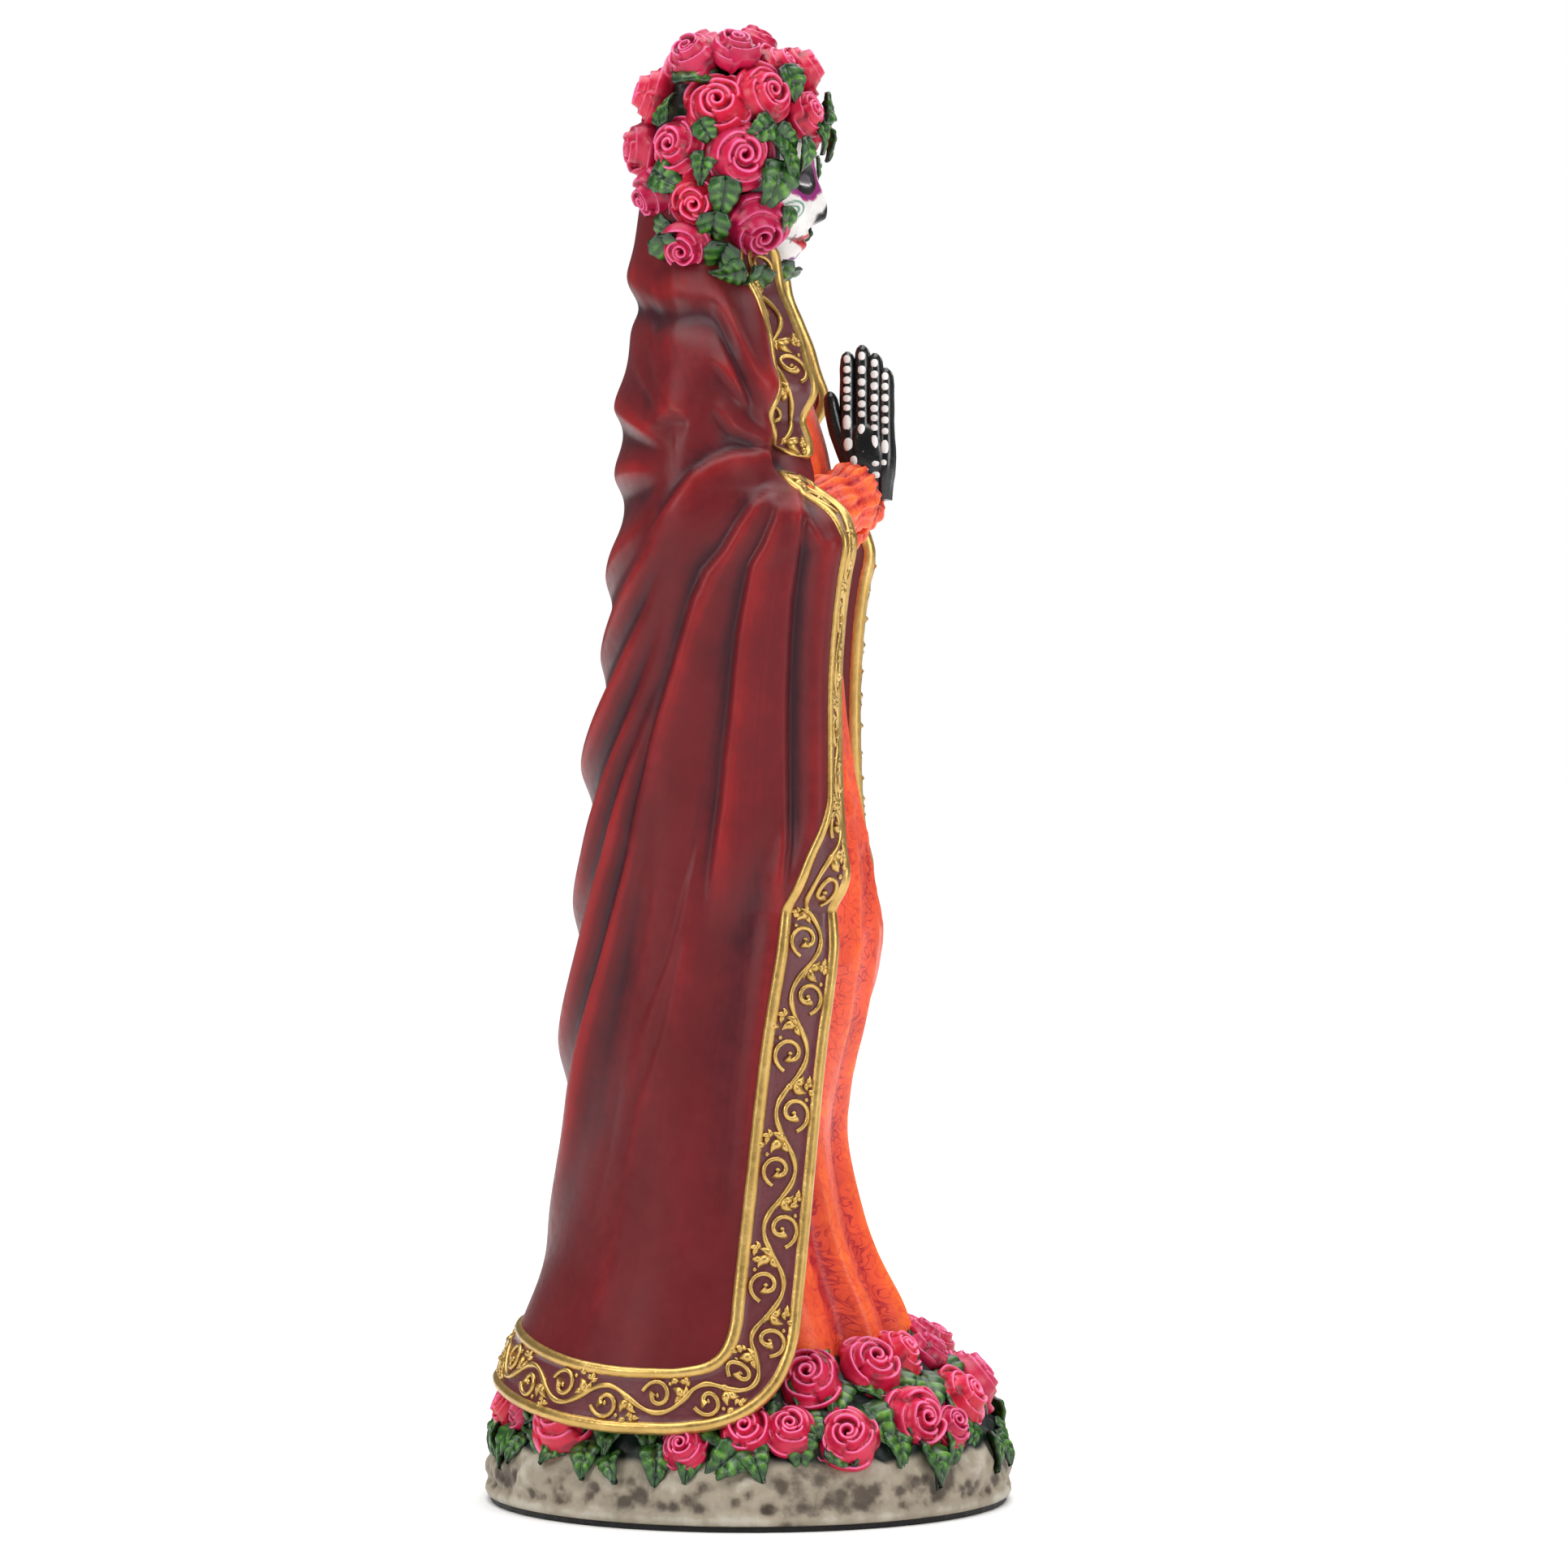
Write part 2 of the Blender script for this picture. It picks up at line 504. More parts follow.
def painted(name, body, wash, light, relief, marks, mark_size, roughness, bump, **constants):
    """A painted-resin material. relief is an attribute's name, or a number where it is even."""
    material = bpy.data.materials.new(name)
    material.use_nodes = True
    tree = material.node_tree
    shader = tree.nodes["Principled BSDF"]
    paint = tree.nodes.new("ShaderNodeGroup")
    paint.node_tree = paint_group()
    for label, value in (("Body", body), ("Wash", wash), ("Light", light)):
        if isinstance(value, bpy.types.NodeSocket):
            tree.links.new(value, paint.inputs[label])
        else:
            paint.inputs[label].default_value = rgba(value)
    paint.inputs["Marks"].default_value = marks
    paint.inputs["Mark size"].default_value = mark_size
    if isinstance(relief, str):
        height = node(tree, "Attribute", attribute_name=relief)
        tree.links.new(height.outputs["Fac"], paint.inputs["Relief"])
    else:
        paint.inputs["Relief"].default_value = relief
    tree.links.new(paint.outputs["Color"], shader.inputs["Base Color"])
    gloss = sums(tree, "ADD", paint.outputs["Gloss change"], roughness)
    tree.links.new(gloss, shader.inputs["Roughness"])
    raised = node(tree, "Bump", {
        "Height": paint.outputs["Height"], "Strength": 1.0, "Distance": bump * MM})
    tree.links.new(raised.outputs["Normal"], shader.inputs["Normal"])
    for label, value in constants.items():
        shader.inputs[label.replace("_", " ")].default_value = value
    return material, tree, shader, paint


# ---------------------------------------------------------------- mantle

def rank_of(level):
    away = SWAG_TOP - level
    return np.sign(away) * np.log1p(np.abs(away) / SWAG_SPREAD)


def rank(turn, height):
    """Rank of the swag that passes through a place: all of them are drawn together at the gather."""
    drawn = np.minimum(smooth(1.07 * turn / PINCH_ANGLE), 0.9995)
    return rank_of((height - PINCH_HEIGHT * drawn) / (1 - drawn))


def fine_swags():
    """Slight creases between the main swags: rank, depth, width."""
    draw = np.random.default_rng(11)
    ranks = np.linspace(rank_of(290), rank_of(-700), 24) + draw.normal(0, 0.05, 24)
    return np.stack([ranks, draw.uniform(-0.35, 0.55, 24), draw.uniform(0.03, 0.06, 24)], axis=1)


def fold_line(forward, height, line):
    """Distance from a fold line, positive in front of it or below it, and the share of it run."""
    line = np.asarray(line, float)
    lengths = np.linalg.norm(np.diff(line, axis=0), axis=1)
    off, run = np.full(forward.shape, 1e6), np.zeros(forward.shape)
    done = 0.0
    for (f0, h0), (f1, h1), size in zip(line[:-1], line[1:], lengths):
        df, dh = (f1 - f0) / size, (h1 - h0) / size
        t = np.clip((forward - f0) * df + (height - h0) * dh, 0, size)
        gap = np.hypot(forward - f0 - t * df, height - h0 - t * dh)
        closer = gap < np.abs(off)
        front = df * (height - h0) - dh * (forward - f0) > 0
        off = np.where(closer, np.where(front, gap, -gap), off)
        run = np.where(closer, done + t, run)
        done += size
    return off, run / done


def drawn_folds(turn, height):
    """The crisp folds that run down and back from the gather at the forearm."""
    sizes = [along(MANTLE_PROFILE, height, column) for column in (1, 2, 3)]
    forward, _ = mantle_outline(turn, height, *sizes)
    forward, height = np.broadcast_arrays(forward, height)
    depth = np.zeros(forward.shape)
    for step, in_front, behind, soft, line in FOLDS:
        off, run = fold_line(forward, height, line)
        width = np.where(off > 0, in_front, behind) * (0.45 + 0.55 * smooth(run / 0.4))
        ends = smooth(run / 0.1) * (1 - smooth((run - 0.78) / 0.22))
        depth += step * ends * np.tanh(off / soft) * np.exp(-np.abs(off) / width)
    return depth


def fold_depth(angle, height, fine=True):
    turn = np.abs(angle)
    here = rank(turn, height)
    steep = np.hypot(rank(turn + 1, height) - here, rank(turn, height + 1) - here)
    least = SHARPEST_FOLD * np.minimum(steep, 1)
    near_arm = smooth((turn - 25) / 55)
    depth = np.zeros(np.broadcast(turn, height).shape)
    for swag, back, arm, width in SWAGS:
        off = here - rank_of(swag)
        share = np.hypot(np.where(off > 0, width * 0.62, width), least)
        depth += (back + (arm - back) * near_arm) * width * bell(off / share) / np.hypot(width, least)
    if fine:
        for level, deep, width in fine_swags():
            off = here - level
            share = np.hypot(width, least)
            depth += deep * smooth((turn - 15) / 40) * width * bell(off / share) / share
    from_pinch = np.hypot((turn - PINCH_ANGLE) * 0.55, height - PINCH_HEIGHT)
    behind_arm = 1 - smooth((turn - PINCH_ANGLE + 12) / 12)
    toward_hem = 0.25 + 0.75 * smooth((height - 22) / 70)
    in_hood = 1 - smooth((height - 236) / 10)
    at_side = smooth((turn - 50) / 24)
    depth = (depth - 1.5) * behind_arm * toward_hem * in_hood * smooth(from_pinch / 10) * (1 - at_side)
    depth = depth + drawn_folds(turn, height) * at_side
    return depth + hanging_folds(turn, height) + shoulder_fold(turn, height)


def hanging_folds(turn, height):
    edge = along(MANTLE_PROFILE, height, 4)
    below_arm = 1 - smooth((height - 188) / 9)
    above_hem = smooth((height - 60) / 70)
    pipe = 0.9 * bell((turn - edge + 19) / 5)
    groove = -0.9 * bell((turn - edge + 31) / 6)
    dent = -2.6 * bell((turn - PINCH_ANGLE - 6) / 5) * bell((height - PINCH_HEIGHT - 1.5) / 3)
    over_arm = smooth((height - 201) / 5) * (1 - smooth((height - 236) / 8))
    roll = 1.5 * bell((turn - edge + 27) / 8) - 1.2 * bell((turn - edge + 14) / 4.5)
    return (pipe + groove) * below_arm * above_hem + dent + roll * over_arm


def shoulder_fold(turn, height):
    crease = 234.5 - 4 * smooth(turn / 70) - 19 * smooth((turn - 84) / 48) ** 1.4
    off = height - crease
    return -1.5 * bell(off / 3.2) + 1.1 * bell((off - 6) / 4) * (1 - smooth((height - 240) / 12))


def mantle_outline(turn, height, back, half_width, front):
    """The outline at a height; below the forearms its front corners are square, so that the border
    faces forward."""
    radians = np.radians(turn)
    cosine = np.cos(radians)
    behind = cosine > 0
    reach = np.where(behind, AXIS_FORWARD - back, front - AXIS_FORWARD)
    power = np.where(behind, 0.95, 0.8)
    ahead, aside = np.abs(cosine) ** power, np.abs(np.sin(radians)) ** power
    square = 2.5 + 9.5 * smooth((height - 116) / 16) * (1 - smooth((height - 184) / 14))
    push = (ahead ** square + aside ** square) ** (-1 / square)
    push = np.where(behind, 1.0, push)
    lapel = along(LAPEL, height, 1) * smooth((turn - along(MANTLE_PROFILE, height, 4) + 16) / 16)
    return AXIS_FORWARD - np.sign(cosine) * reach * ahead * push + lapel, half_width * aside * push


def mantle_point(angle, height):
    """A point of the mantle's outer face."""
    sizes = [along(MANTLE_PROFILE, height, column) for column in (1, 2, 3)]
    turn = np.minimum(np.abs(angle), 179)
    forward, side = mantle_outline(turn, height, *sizes)
    f0, s0 = mantle_outline(np.maximum(turn - 1, 0), height, *sizes)
    f1, s1 = mantle_outline(turn + 1, height, *sizes)
    run_side = np.where(turn < 1, 1.0, s1 - s0)
    run_forward = np.where(turn < 1, 0.0, f1 - f0)
    size = np.hypot(run_side, run_forward)
    depth = fold_depth(turn, height)
    forward = forward - run_side / size * depth
    side = side + run_forward / size * depth
    return place(forward, -np.where(angle < 0, -1.0, 1.0) * side, height)


def hem_height(angle):
    edge = along(MANTLE_PROFILE, HEM_HEIGHT + CORNER_RADIUS, 4)
    corner = np.clip(1 - (edge - np.abs(angle)) * 0.62 / CORNER_RADIUS, 0, 1)
    back = HEM_BACK_RISE * (1 - smooth(np.abs(angle) / 75))
    return HEM_HEIGHT + back + CORNER_RADIUS * (1 - np.sqrt(1 - corner * corner))


def mantle_place(across, lift):
    """Angle, height and edge angle of a place on the cloth; across runs from -1 to 1."""
    hem = hem_height(across * along(MANTLE_PROFILE, HEM_HEIGHT + CORNER_RADIUS, 4))
    height = hem + lift * (MANTLE_TOP - hem)
    edge = along(MANTLE_PROFILE, height, 4)
    lean = 1 - GRID_LEAN * smooth((height - 20) / 170) * (1 - smooth((height - 205) / 35))
    return np.sign(across) * np.abs(across) ** lean * edge, height, edge


def softened(values, reach):
    """A moving average over rows and columns."""
    kernel = bell(np.linspace(-1.6, 1.6, 2 * reach + 1))
    kernel /= kernel.sum()
    padded = np.pad(values, reach, mode="edge")
    padded = np.apply_along_axis(np.convolve, 0, padded, kernel, mode="valid")
    return np.apply_along_axis(np.convolve, 1, padded, kernel, mode="valid")


OUTER_SHARE = 0.84


def mantle_shape(u, v):
    """The cloth's cross-section runs along its outer face, then back along its inner one."""
    outer = u <= OUTER_SHARE + 1e-9
    across = np.where(outer, 2 * u / OUTER_SHARE - 1, 1 - 2 * (u - OUTER_SHARE) / (1 - OUTER_SHARE))
    angle, height, edge = mantle_place(across, v)
    face = mantle_point(angle, height)
    axis = place(AXIS_FORWARD, 0, height)
    reach = np.linalg.norm(face - axis, axis=-1)
    inside = smooth((edge - np.abs(angle)) / LIP_DEGREES)
    keep = (1 - LIP_THICKNESS / reach) * (1 - inside) + 0.3 * inside
    keep = np.where(outer, 1.0, keep)[..., None]
    keep[:, -1] = 1.0
    depth = fold_depth(np.abs(angle), height)
    flat = depth[:, : int(round(OUTER_SHARE * (u.shape[1] - 1))) + 1]
    crest = np.zeros_like(depth)
    crest[:, : flat.shape[1]] = (flat - softened(flat, 9)) * 0.9 + (softened(flat, 5) - softened(flat, 22)) * 0.35
    strand = rank(np.abs(angle), height)
    points = axis + (face - axis) * keep
    flow = np.stack([np.clip(strand, -4, 4) * 9, np.abs(angle) * 0.012,
                     np.sign(angle) + height * 0.004], axis=-1)
    return points, np.clip(0.5 + crest * 0.42, 0, 1), flow


def mantle_material(tones):
    material, tree, shader, paint = painted(
        "Mantle paint", tones.mantle, tones.mantle_valley, tones.mantle_crest, "crest",
        marks=0.35, mark_size=70, roughness=0.38, bump=0.05, Specular_IOR_Level=0.2)
    crest = next(n for n in tree.nodes if n.type == "ATTRIBUTE")
    flow = node(tree, "Attribute", attribute_name="flow")
    streaks = node(tree, "TexNoise", {
        "Vector": flow.outputs["Vector"], "Scale": 1.6, "Detail": 4.0, "Roughness": 0.55})
    swing = sums(tree, "MULTIPLY", sums(tree, "SUBTRACT", streaks.outputs["Fac"], 0.5), 0.3)
    level = sums(tree, "ADD", crest.outputs["Fac"], swing)
    tree.links.new(level, paint.inputs["Relief"])
    return material


# ---------------------------------------------------------------- border of the mantle

class Border:
    """The strip along the mantle's free edge, read by run (millimetres along the edge), reach
    (millimetres in from it) and lift off the cloth."""

    TOP = 247.0
    STEP = 0.8
    REACHES = np.arange(-2.0, 17.0, 0.5)

    def __init__(self):
        side_heights = np.linspace(self.TOP, HEM_HEIGHT + CORNER_RADIUS, 900)
        side_angles = along(MANTLE_PROFILE, side_heights, 4)
        across = np.sin(np.linspace(-np.pi / 2, np.pi / 2, 1800))
        hem_angles, hem_heights, _ = mantle_place(across, np.zeros_like(across))
        angle = np.concatenate([-side_angles, hem_angles[1:-1], side_angles[::-1]])
        height = np.concatenate([side_heights, hem_heights[1:-1], side_heights[::-1]])
        points = mantle_point(angle, height)
        run = np.concatenate([[0], np.cumsum(np.linalg.norm(np.diff(points, axis=0), axis=1))])
        self.length = float(run[-1])
        count = int(self.length / self.STEP) + 1
        evenly = np.linspace(0, self.length, count)
        self.step = evenly[1]
        angle, height = np.interp(evenly, run, angle), np.interp(evenly, run, height)
        points = mantle_point(angle, height)
        by_angle = (mantle_point(angle + 0.5, height) - mantle_point(angle - 0.5, height))
        by_height = (mantle_point(angle, height + 0.5) - mantle_point(angle, height - 0.5))
        normal = unit(np.cross(by_angle, by_height))
        out = points - place(AXIS_FORWARD, 0, height)
        normal *= np.sign((normal * out).sum(-1))[:, None]
        tangent = unit(np.gradient(points, axis=0))
        inward = unit(np.cross(tangent, normal))
        aa, hh = (by_angle ** 2).sum(-1), (by_height ** 2).sum(-1)
        ah = (by_angle * by_height).sum(-1)
        ad, hd = (by_angle * inward).sum(-1), (by_height * inward).sum(-1)
        det = aa * hh - ah * ah
        turn, rise = (ad * hh - hd * ah) / det, (hd * aa - ad * ah) / det
        kernel = np.hanning(15) / np.hanning(15).sum()
        turn, rise = (np.convolve(np.pad(x, 7, mode="edge"), kernel, mode="valid") for x in (turn, rise))
        grid_angle = angle[:, None] + turn[:, None] * self.REACHES
        grid_height = height[:, None] + rise[:, None] * self.REACHES
        self.grid = mantle_point(grid_angle, grid_height)
        self.height = height
        marks = [0, np.argmax(height < 202.5), np.argmax(height < 199)]
        marks += [len(height) - 1 - m for m in reversed(marks)]
        self.strips = [(marks[i] * self.step, marks[i + 1] * self.step) for i in (0, 2, 4)]
        normals = np.cross(np.gradient(self.grid, axis=0), np.gradient(self.grid, axis=1))
        out = self.grid - place(AXIS_FORWARD, 0, grid_height)
        self.normals = unit(normals) * np.sign((normals * out).sum(-1))[..., None]

    def point(self, run, reach, lift):
        k = np.clip(np.asarray(run, float) / self.step, 0, len(self.grid) - 1.001)
        j = np.clip((np.asarray(reach, float) - self.REACHES[0]) / 0.5, 0, len(self.REACHES) - 1.001)
        k0, j0 = k.astype(int), j.astype(int)
        a, b = (k - k0)[..., None], (j - j0)[..., None]

        def read(grid):
            return ((grid[k0, j0] * (1 - a) + grid[k0 + 1, j0] * a) * (1 - b)
                    + (grid[k0, j0 + 1] * (1 - a) + grid[k0 + 1, j0 + 1] * a) * b)

        return read(self.grid) + unit(read(self.normals)) * np.asarray(lift, float)[..., None]


def border_section(width, line):
    """The strip's closed cross-section: reach, lift and how golden it is."""
    outer = [(0.4 - 1.5 * line, -0.9 * line, 1), (0.4 - 1.35 * line, 0.2 * line, 1),
             (0.4 - 0.8 * line, 0.85 * line, 1), (0.4, 1.1 * line, 1), (0.4 + 0.75 * line, 0.8 * line, 1),
             (0.4 + line, 0.35, 1), (0.45 + 1.15 * line, 0.12, 0)]
    ground = [(width * share, 0.1, 0) for share in (0.27, 0.4, 0.55, 0.7, 0.82)]
    inner = [(width - 1.12 * line, 0.12, 0), (width - line, 0.3, 1), (width - 0.6 * line, 0.7 * line, 1),
             (width, 0.85 * line, 1), (width + 0.6 * line, 0.7 * line, 1), (width + line, 0.2, 1),
             (width + line, -0.6, 1)]
    under = [(width * 0.7, -1.2, 0), (width * 0.35, -1.9, 0), (0.6, -2.7, 0), (-0.4, -2.5, 0),
             (-0.9, -1.6, 0)]
    return np.array(outer + ground + inner + under)


def vine_strokes(border, width, wave, thickness):
    """The vine: a waving stem, a curl in each half wave, and leaves, trefoils and buds between."""
    draw = np.random.default_rng(5)
    middle = width * 0.52
    strokes = []

    def add(run, reach, radii, lift=0.3):
        run, reach = np.asarray(run, float), np.asarray(reach, float)
        radii = np.broadcast_to(np.asarray(radii, float), run.shape)
        for start, end in border.strips:
            if run.min() > start + 1 and run.max() < end - 1:
                strokes.append((border.point(run, reach, lift + 0 * run), radii))

    def drop_leaf(run, reach, direction, size, fat=0.36):
        share = np.linspace(0, 1, 6)
        bow = 0.18 * size * np.sin(np.pi * share)
        x = run + math.cos(direction) * size * share - math.sin(direction) * bow
        y = reach + math.sin(direction) * size * share + math.cos(direction) * bow
        add(x, y, size * fat * np.array([0.35, 0.8, 1, 0.85, 0.5, 0.12]), lift=0.15)

    for start, end in border.strips:
        stem = np.arange(start + 2.0, end - 2, 0.9)
        add(stem, middle + 2.3 * np.sin(2 * np.pi * stem / wave),
            thickness * (1 + 0.18 * np.sin(stem * 1.1)))
    half = wave / 2
    for k in range(int(border.length / half)):
        up = 1 if k % 2 == 0 else -1
        start = k * half
        scale = draw.uniform(0.9, 1.08)
        centre = (start + half * 0.5, middle - up * 0.95)
        turn = np.linspace(0, 1, 20)
        theta = -0.25 - turn * 6.6
        radius = (3.25 - 2.3 * turn ** 0.8) * scale
        add(centre[0] + radius * np.cos(theta) * 1.05, centre[1] + up * radius * np.sin(theta),
            thickness * (0.85 + 0.2 * turn + 0.9 * smooth((turn - 0.85) / 0.15)))
        crossing = start + half
        for direction, size in ((0.9, 2.9), (2.2, 2.5), (-0.5, 2.1)):
            jitter = draw.uniform(-0.25, 0.25)
            drop_leaf(crossing + 0.2, middle + up * 0.4, up * (direction + jitter), size * scale)
        far = (start + half * (0.93 + draw.uniform(-0.04, 0.04)), middle + up * 3.5)
        for direction in (0.3, 1.57, 2.84):
            drop_leaf(far[0], far[1] - up * 0.6, up * direction, 1.5, 0.42)
        bud = (start + half * 0.08, middle - up * 3.6)
        drop_leaf(bud[0], bud[1], draw.uniform(0, 6.28), 1.9, 0.4)
        add([bud[0] + 1.6, bud[0] + 1.95, bud[0] + 2.3], [bud[1] + up * 0.5] * 3, [0.25, 0.5, 0.25])
        add([centre[0] - 0.3, centre[0], centre[0] + 0.3], [centre[1]] * 3, [0.3, 0.62, 0.3])
    return strokes


def gold_material(tones):
    """Gold paint over dark red; the attribute gold says which shows."""
    material, tree, shader, paint = painted(
        "Border paint", tones.gold, tones.gold_wash, (0.86, 0.66, 0.30), 0.52,
        marks=0.75, mark_size=160, roughness=0.34, bump=0.12)
    gold = node(tree, "Attribute", attribute_name="gold").outputs["Fac"]
    where = node(tree, "TexCoord").outputs["Object"]
    worn = node(tree, "TexNoise", {"Vector": where, "Scale": 900.0, "Detail": 2.0})
    ragged = sums(tree, "ADD", gold, sums(tree, "MULTIPLY", sums(
        tree, "SUBTRACT", worn.outputs["Fac"], 0.5), 0.5))
    mask = ranged(tree, ragged, 0.42, 0.58)
    ground_noise = node(tree, "TexNoise", {"Vector": where, "Scale": 260.0, "Detail": 3.0})
    ground = mixed(tree, ground_noise.outputs["Fac"], rgba(tones.border_ground),
                   rgba([c * 1.8 for c in tones.border_ground]))
    tree.links.new(mixed(tree, mask, ground, paint.outputs["Color"]), shader.inputs["Base Color"])
    tree.links.new(ranged(tree, mask, 0, 1, 0.0, 0.82), shader.inputs["Metallic"])
    return material


# ---------------------------------------------------------------- dress and sleeves

def dress_shape(u, v):
    """The robe: sharp pleats between broad pipes, a bent knee and dragged creases."""
    angle = 2 * np.pi * (u - 0.5)
    height = 10 + v * 242
    front, half_width = (along(DRESS_PROFILE, height, column) for column in (1, 2))
    middle = -4
    reach = np.where(np.cos(angle) > 0, front - middle, np.minimum(front - middle, 18))
    low = smooth((130 - height) / 90)
    wander = 0.5 * np.sin(height / 30)
    pipe = (0.15 + 1.5 * low) * np.cos(13 * angle + wander)
    knee = 3.2 * bell((angle - 0.42) / 0.42) * bell((height - 110) / 17)
    pleat_turn = 21 * angle + 1.4 * np.sin(height / 37 + 2 * angle) + 0.8 * np.sin(height / 13)
    pleat = 0.55 * (1 - 2 * np.abs(np.sin(pleat_turn / 2)) ** 0.8) * smooth((206 - height) / 40)
    drag = 0.0
    draw = np.random.default_rng(3)
    for _ in range(34):
        at_angle, at_height = draw.uniform(-1.5, 1.5), draw.uniform(60, 190)
        lean, size = draw.uniform(-0.7, 0.9), draw.uniform(0.25, 0.7)
        off = height - at_height - lean * 22 * (angle - at_angle)
        drag = drag + size * bell(off / 1.3) * bell((angle - at_angle) / 0.2)
    tug = 0.5 * np.sin(11 * angle) * smooth((height - 190) / 20)
    grow = 1 + (pipe + knee + pleat + drag + tug) / 30
    points = place(middle + reach * np.cos(angle) * grow, -half_width * np.sin(angle) * grow, height)
    relief = pipe * 0.5 + pleat * 0.7 + drag * 0.8 + tug * 0.4
    weave = np.stack([angle * 26, height, 0 * angle], axis=-1)
    return points, np.clip(0.52 + 0.3 * relief, 0, 1), weave


def sleeve_centre(share):
    """Centre line of the figure's right sleeve: forward, side and height."""
    rows = np.array(SLEEVE_PATH, float)
    rows = np.vstack([2 * rows[0] - rows[1], rows, 2 * rows[-1] - rows[-2]])
    at = np.clip(share, 0, 1) * 3
    i = np.minimum(at.astype(int), 2)
    t = (at - i)[..., None]
    a, b, c, d = rows[i], rows[i + 1], rows[i + 2], rows[i + 3]
    return 0.5 * (2 * b + (c - a) * t + (2 * a - 5 * b + 4 * c - d) * t ** 2
                  + (3 * b - a - 3 * c + d) * t ** 3)


def sleeve_shape(mirror):
    def shape(u, v):
        angle = 2 * np.pi * u
        share = np.clip(v * 1.12, 0, 1)
        mouth = np.clip(v * 1.12 - 1, 0, 0.12) / 0.12
        centre = sleeve_centre(share)
        tangent = unit(sleeve_centre(share + 0.01) - sleeve_centre(share - 0.01))
        across = unit(np.cross(np.array([0.0, 0, 1]), tangent))
        up = np.cross(tangent, across)
        pleats = 0.35 * np.sin(15 * angle + 2.2 * np.sin(5 * share)) + 0.25 * np.sin(9 * angle + 3)
        radius = 8.2 - 3 * smooth(share) + 0.5 * np.cos(9 * np.pi * share) * (1 - mouth)
        radius = radius + pleats * (0.5 + 0.5 * share)
        droop = 1 + 0.35 * np.maximum(0, -np.cos(angle)) * share
        radius = radius * (1 - 0.86 * mouth)
        centre = centre - tangent * (1.2 * np.sin(np.pi * mouth) * 0.6)[..., None]
        where = (centre + across * (mirror * radius * np.sin(angle))[..., None]
                 + up * (radius * np.cos(angle) * droop)[..., None])
        relief = pleats + 0.4 * np.cos(9 * np.pi * share) - 1.4 * mouth
        weave = np.stack([angle * 7, share * 40, 0 * angle], axis=-1)
        return (place(where[..., 0], mirror * where[..., 1], where[..., 2]),
                np.clip(0.55 + 0.5 * relief, 0, 1), weave)
    return shape


def dress_material(tones):
    material, tree, shader, paint = painted(
        "Dress paint", tones.dress, tones.dress_deep, tones.dress_light, "relief",
        marks=0.5, mark_size=110, roughness=0.4, bump=0.06, Specular_IOR_Level=0.35)
    relief = next(n for n in tree.nodes if n.type == "ATTRIBUTE")
    weave = node(tree, "Attribute", attribute_name="weave")
    petals = node(tree, "TexVoronoi", {
        "Vector": weave.outputs["Vector"], "Scale": 0.16, "Randomness": 0.75}, feature="F1")
    scrolls = node(tree, "TexNoise", {
        "Vector": weave.outputs["Vector"], "Scale": 0.22, "Detail": 1.0, "Distortion": 2.4})
    band = sums(tree, "ABSOLUTE", sums(tree, "SUBTRACT", scrolls.outputs["Fac"], 0.5), 0.0)
    figure = ranged(tree, band, 0.015, 0.05, -0.22, 0.06)
    flower = ranged(tree, petals.outputs["Distance"], 0.25, 0.4, 0.14, -0.02)
    level = sums(tree, "ADD", relief.outputs["Fac"], sums(tree, "ADD", figure, flower))
    tree.links.new(level, paint.inputs["Relief"])
    return material


# ---------------------------------------------------------------- head

def face_relief(side, rise):
    """Height of the face over the egg shape; rise is measured from the eye line."""
    pair = np.abs(side)
    nose = 2.8 * bell(side / 1.7) * smooth((rise + 9.2) / 1.8) * (1 - smooth((rise + 7) / 9))
    wings = 0.9 * bell((pair - 1.7) / 1.0) * bell((rise + 7.9) / 1.2)
    sockets = -1.7 * bell((pair - 5) / 3) * bell((rise + 0.2) / 2.6)
    ball = 1.15 * bell((pair - 5) / 2.3) * bell((rise + 0.4) / 1.7)
    lid = -0.35 * bell((rise + 1.5 + 0.09 * (pair - 5) ** 2 * -1) / 0.3) * bell((pair - 5) / 2.2)
    brow = 0.45 * bell((pair - 5) / 3.4) * bell((rise - 4.2) / 1.3)
    cheek = 0.7 * bell((pair - 6.6) / 3) * bell((rise + 6.4) / 3.4)
    upper = 0.95 * bell(side / 2.9) * bell((rise + 10.9) / 0.95)
    lower = 1.1 * bell(side / 2.5) * bell((rise + 12.9) / 1.05)
    parting = -0.55 * bell(side / 3.2) * bell((rise + 11.85 - 0.25 * np.cos(side)) / 0.35)
    philtrum = -0.25 * bell(side / 0.7) * bell((rise + 9.6) / 0.8)
    chin = 1.7 * bell(side / 4) * bell((rise + 16) / 3)
    return nose + wings + sockets + ball + lid + brow + cheek + upper + lower + parting + philtrum + chin


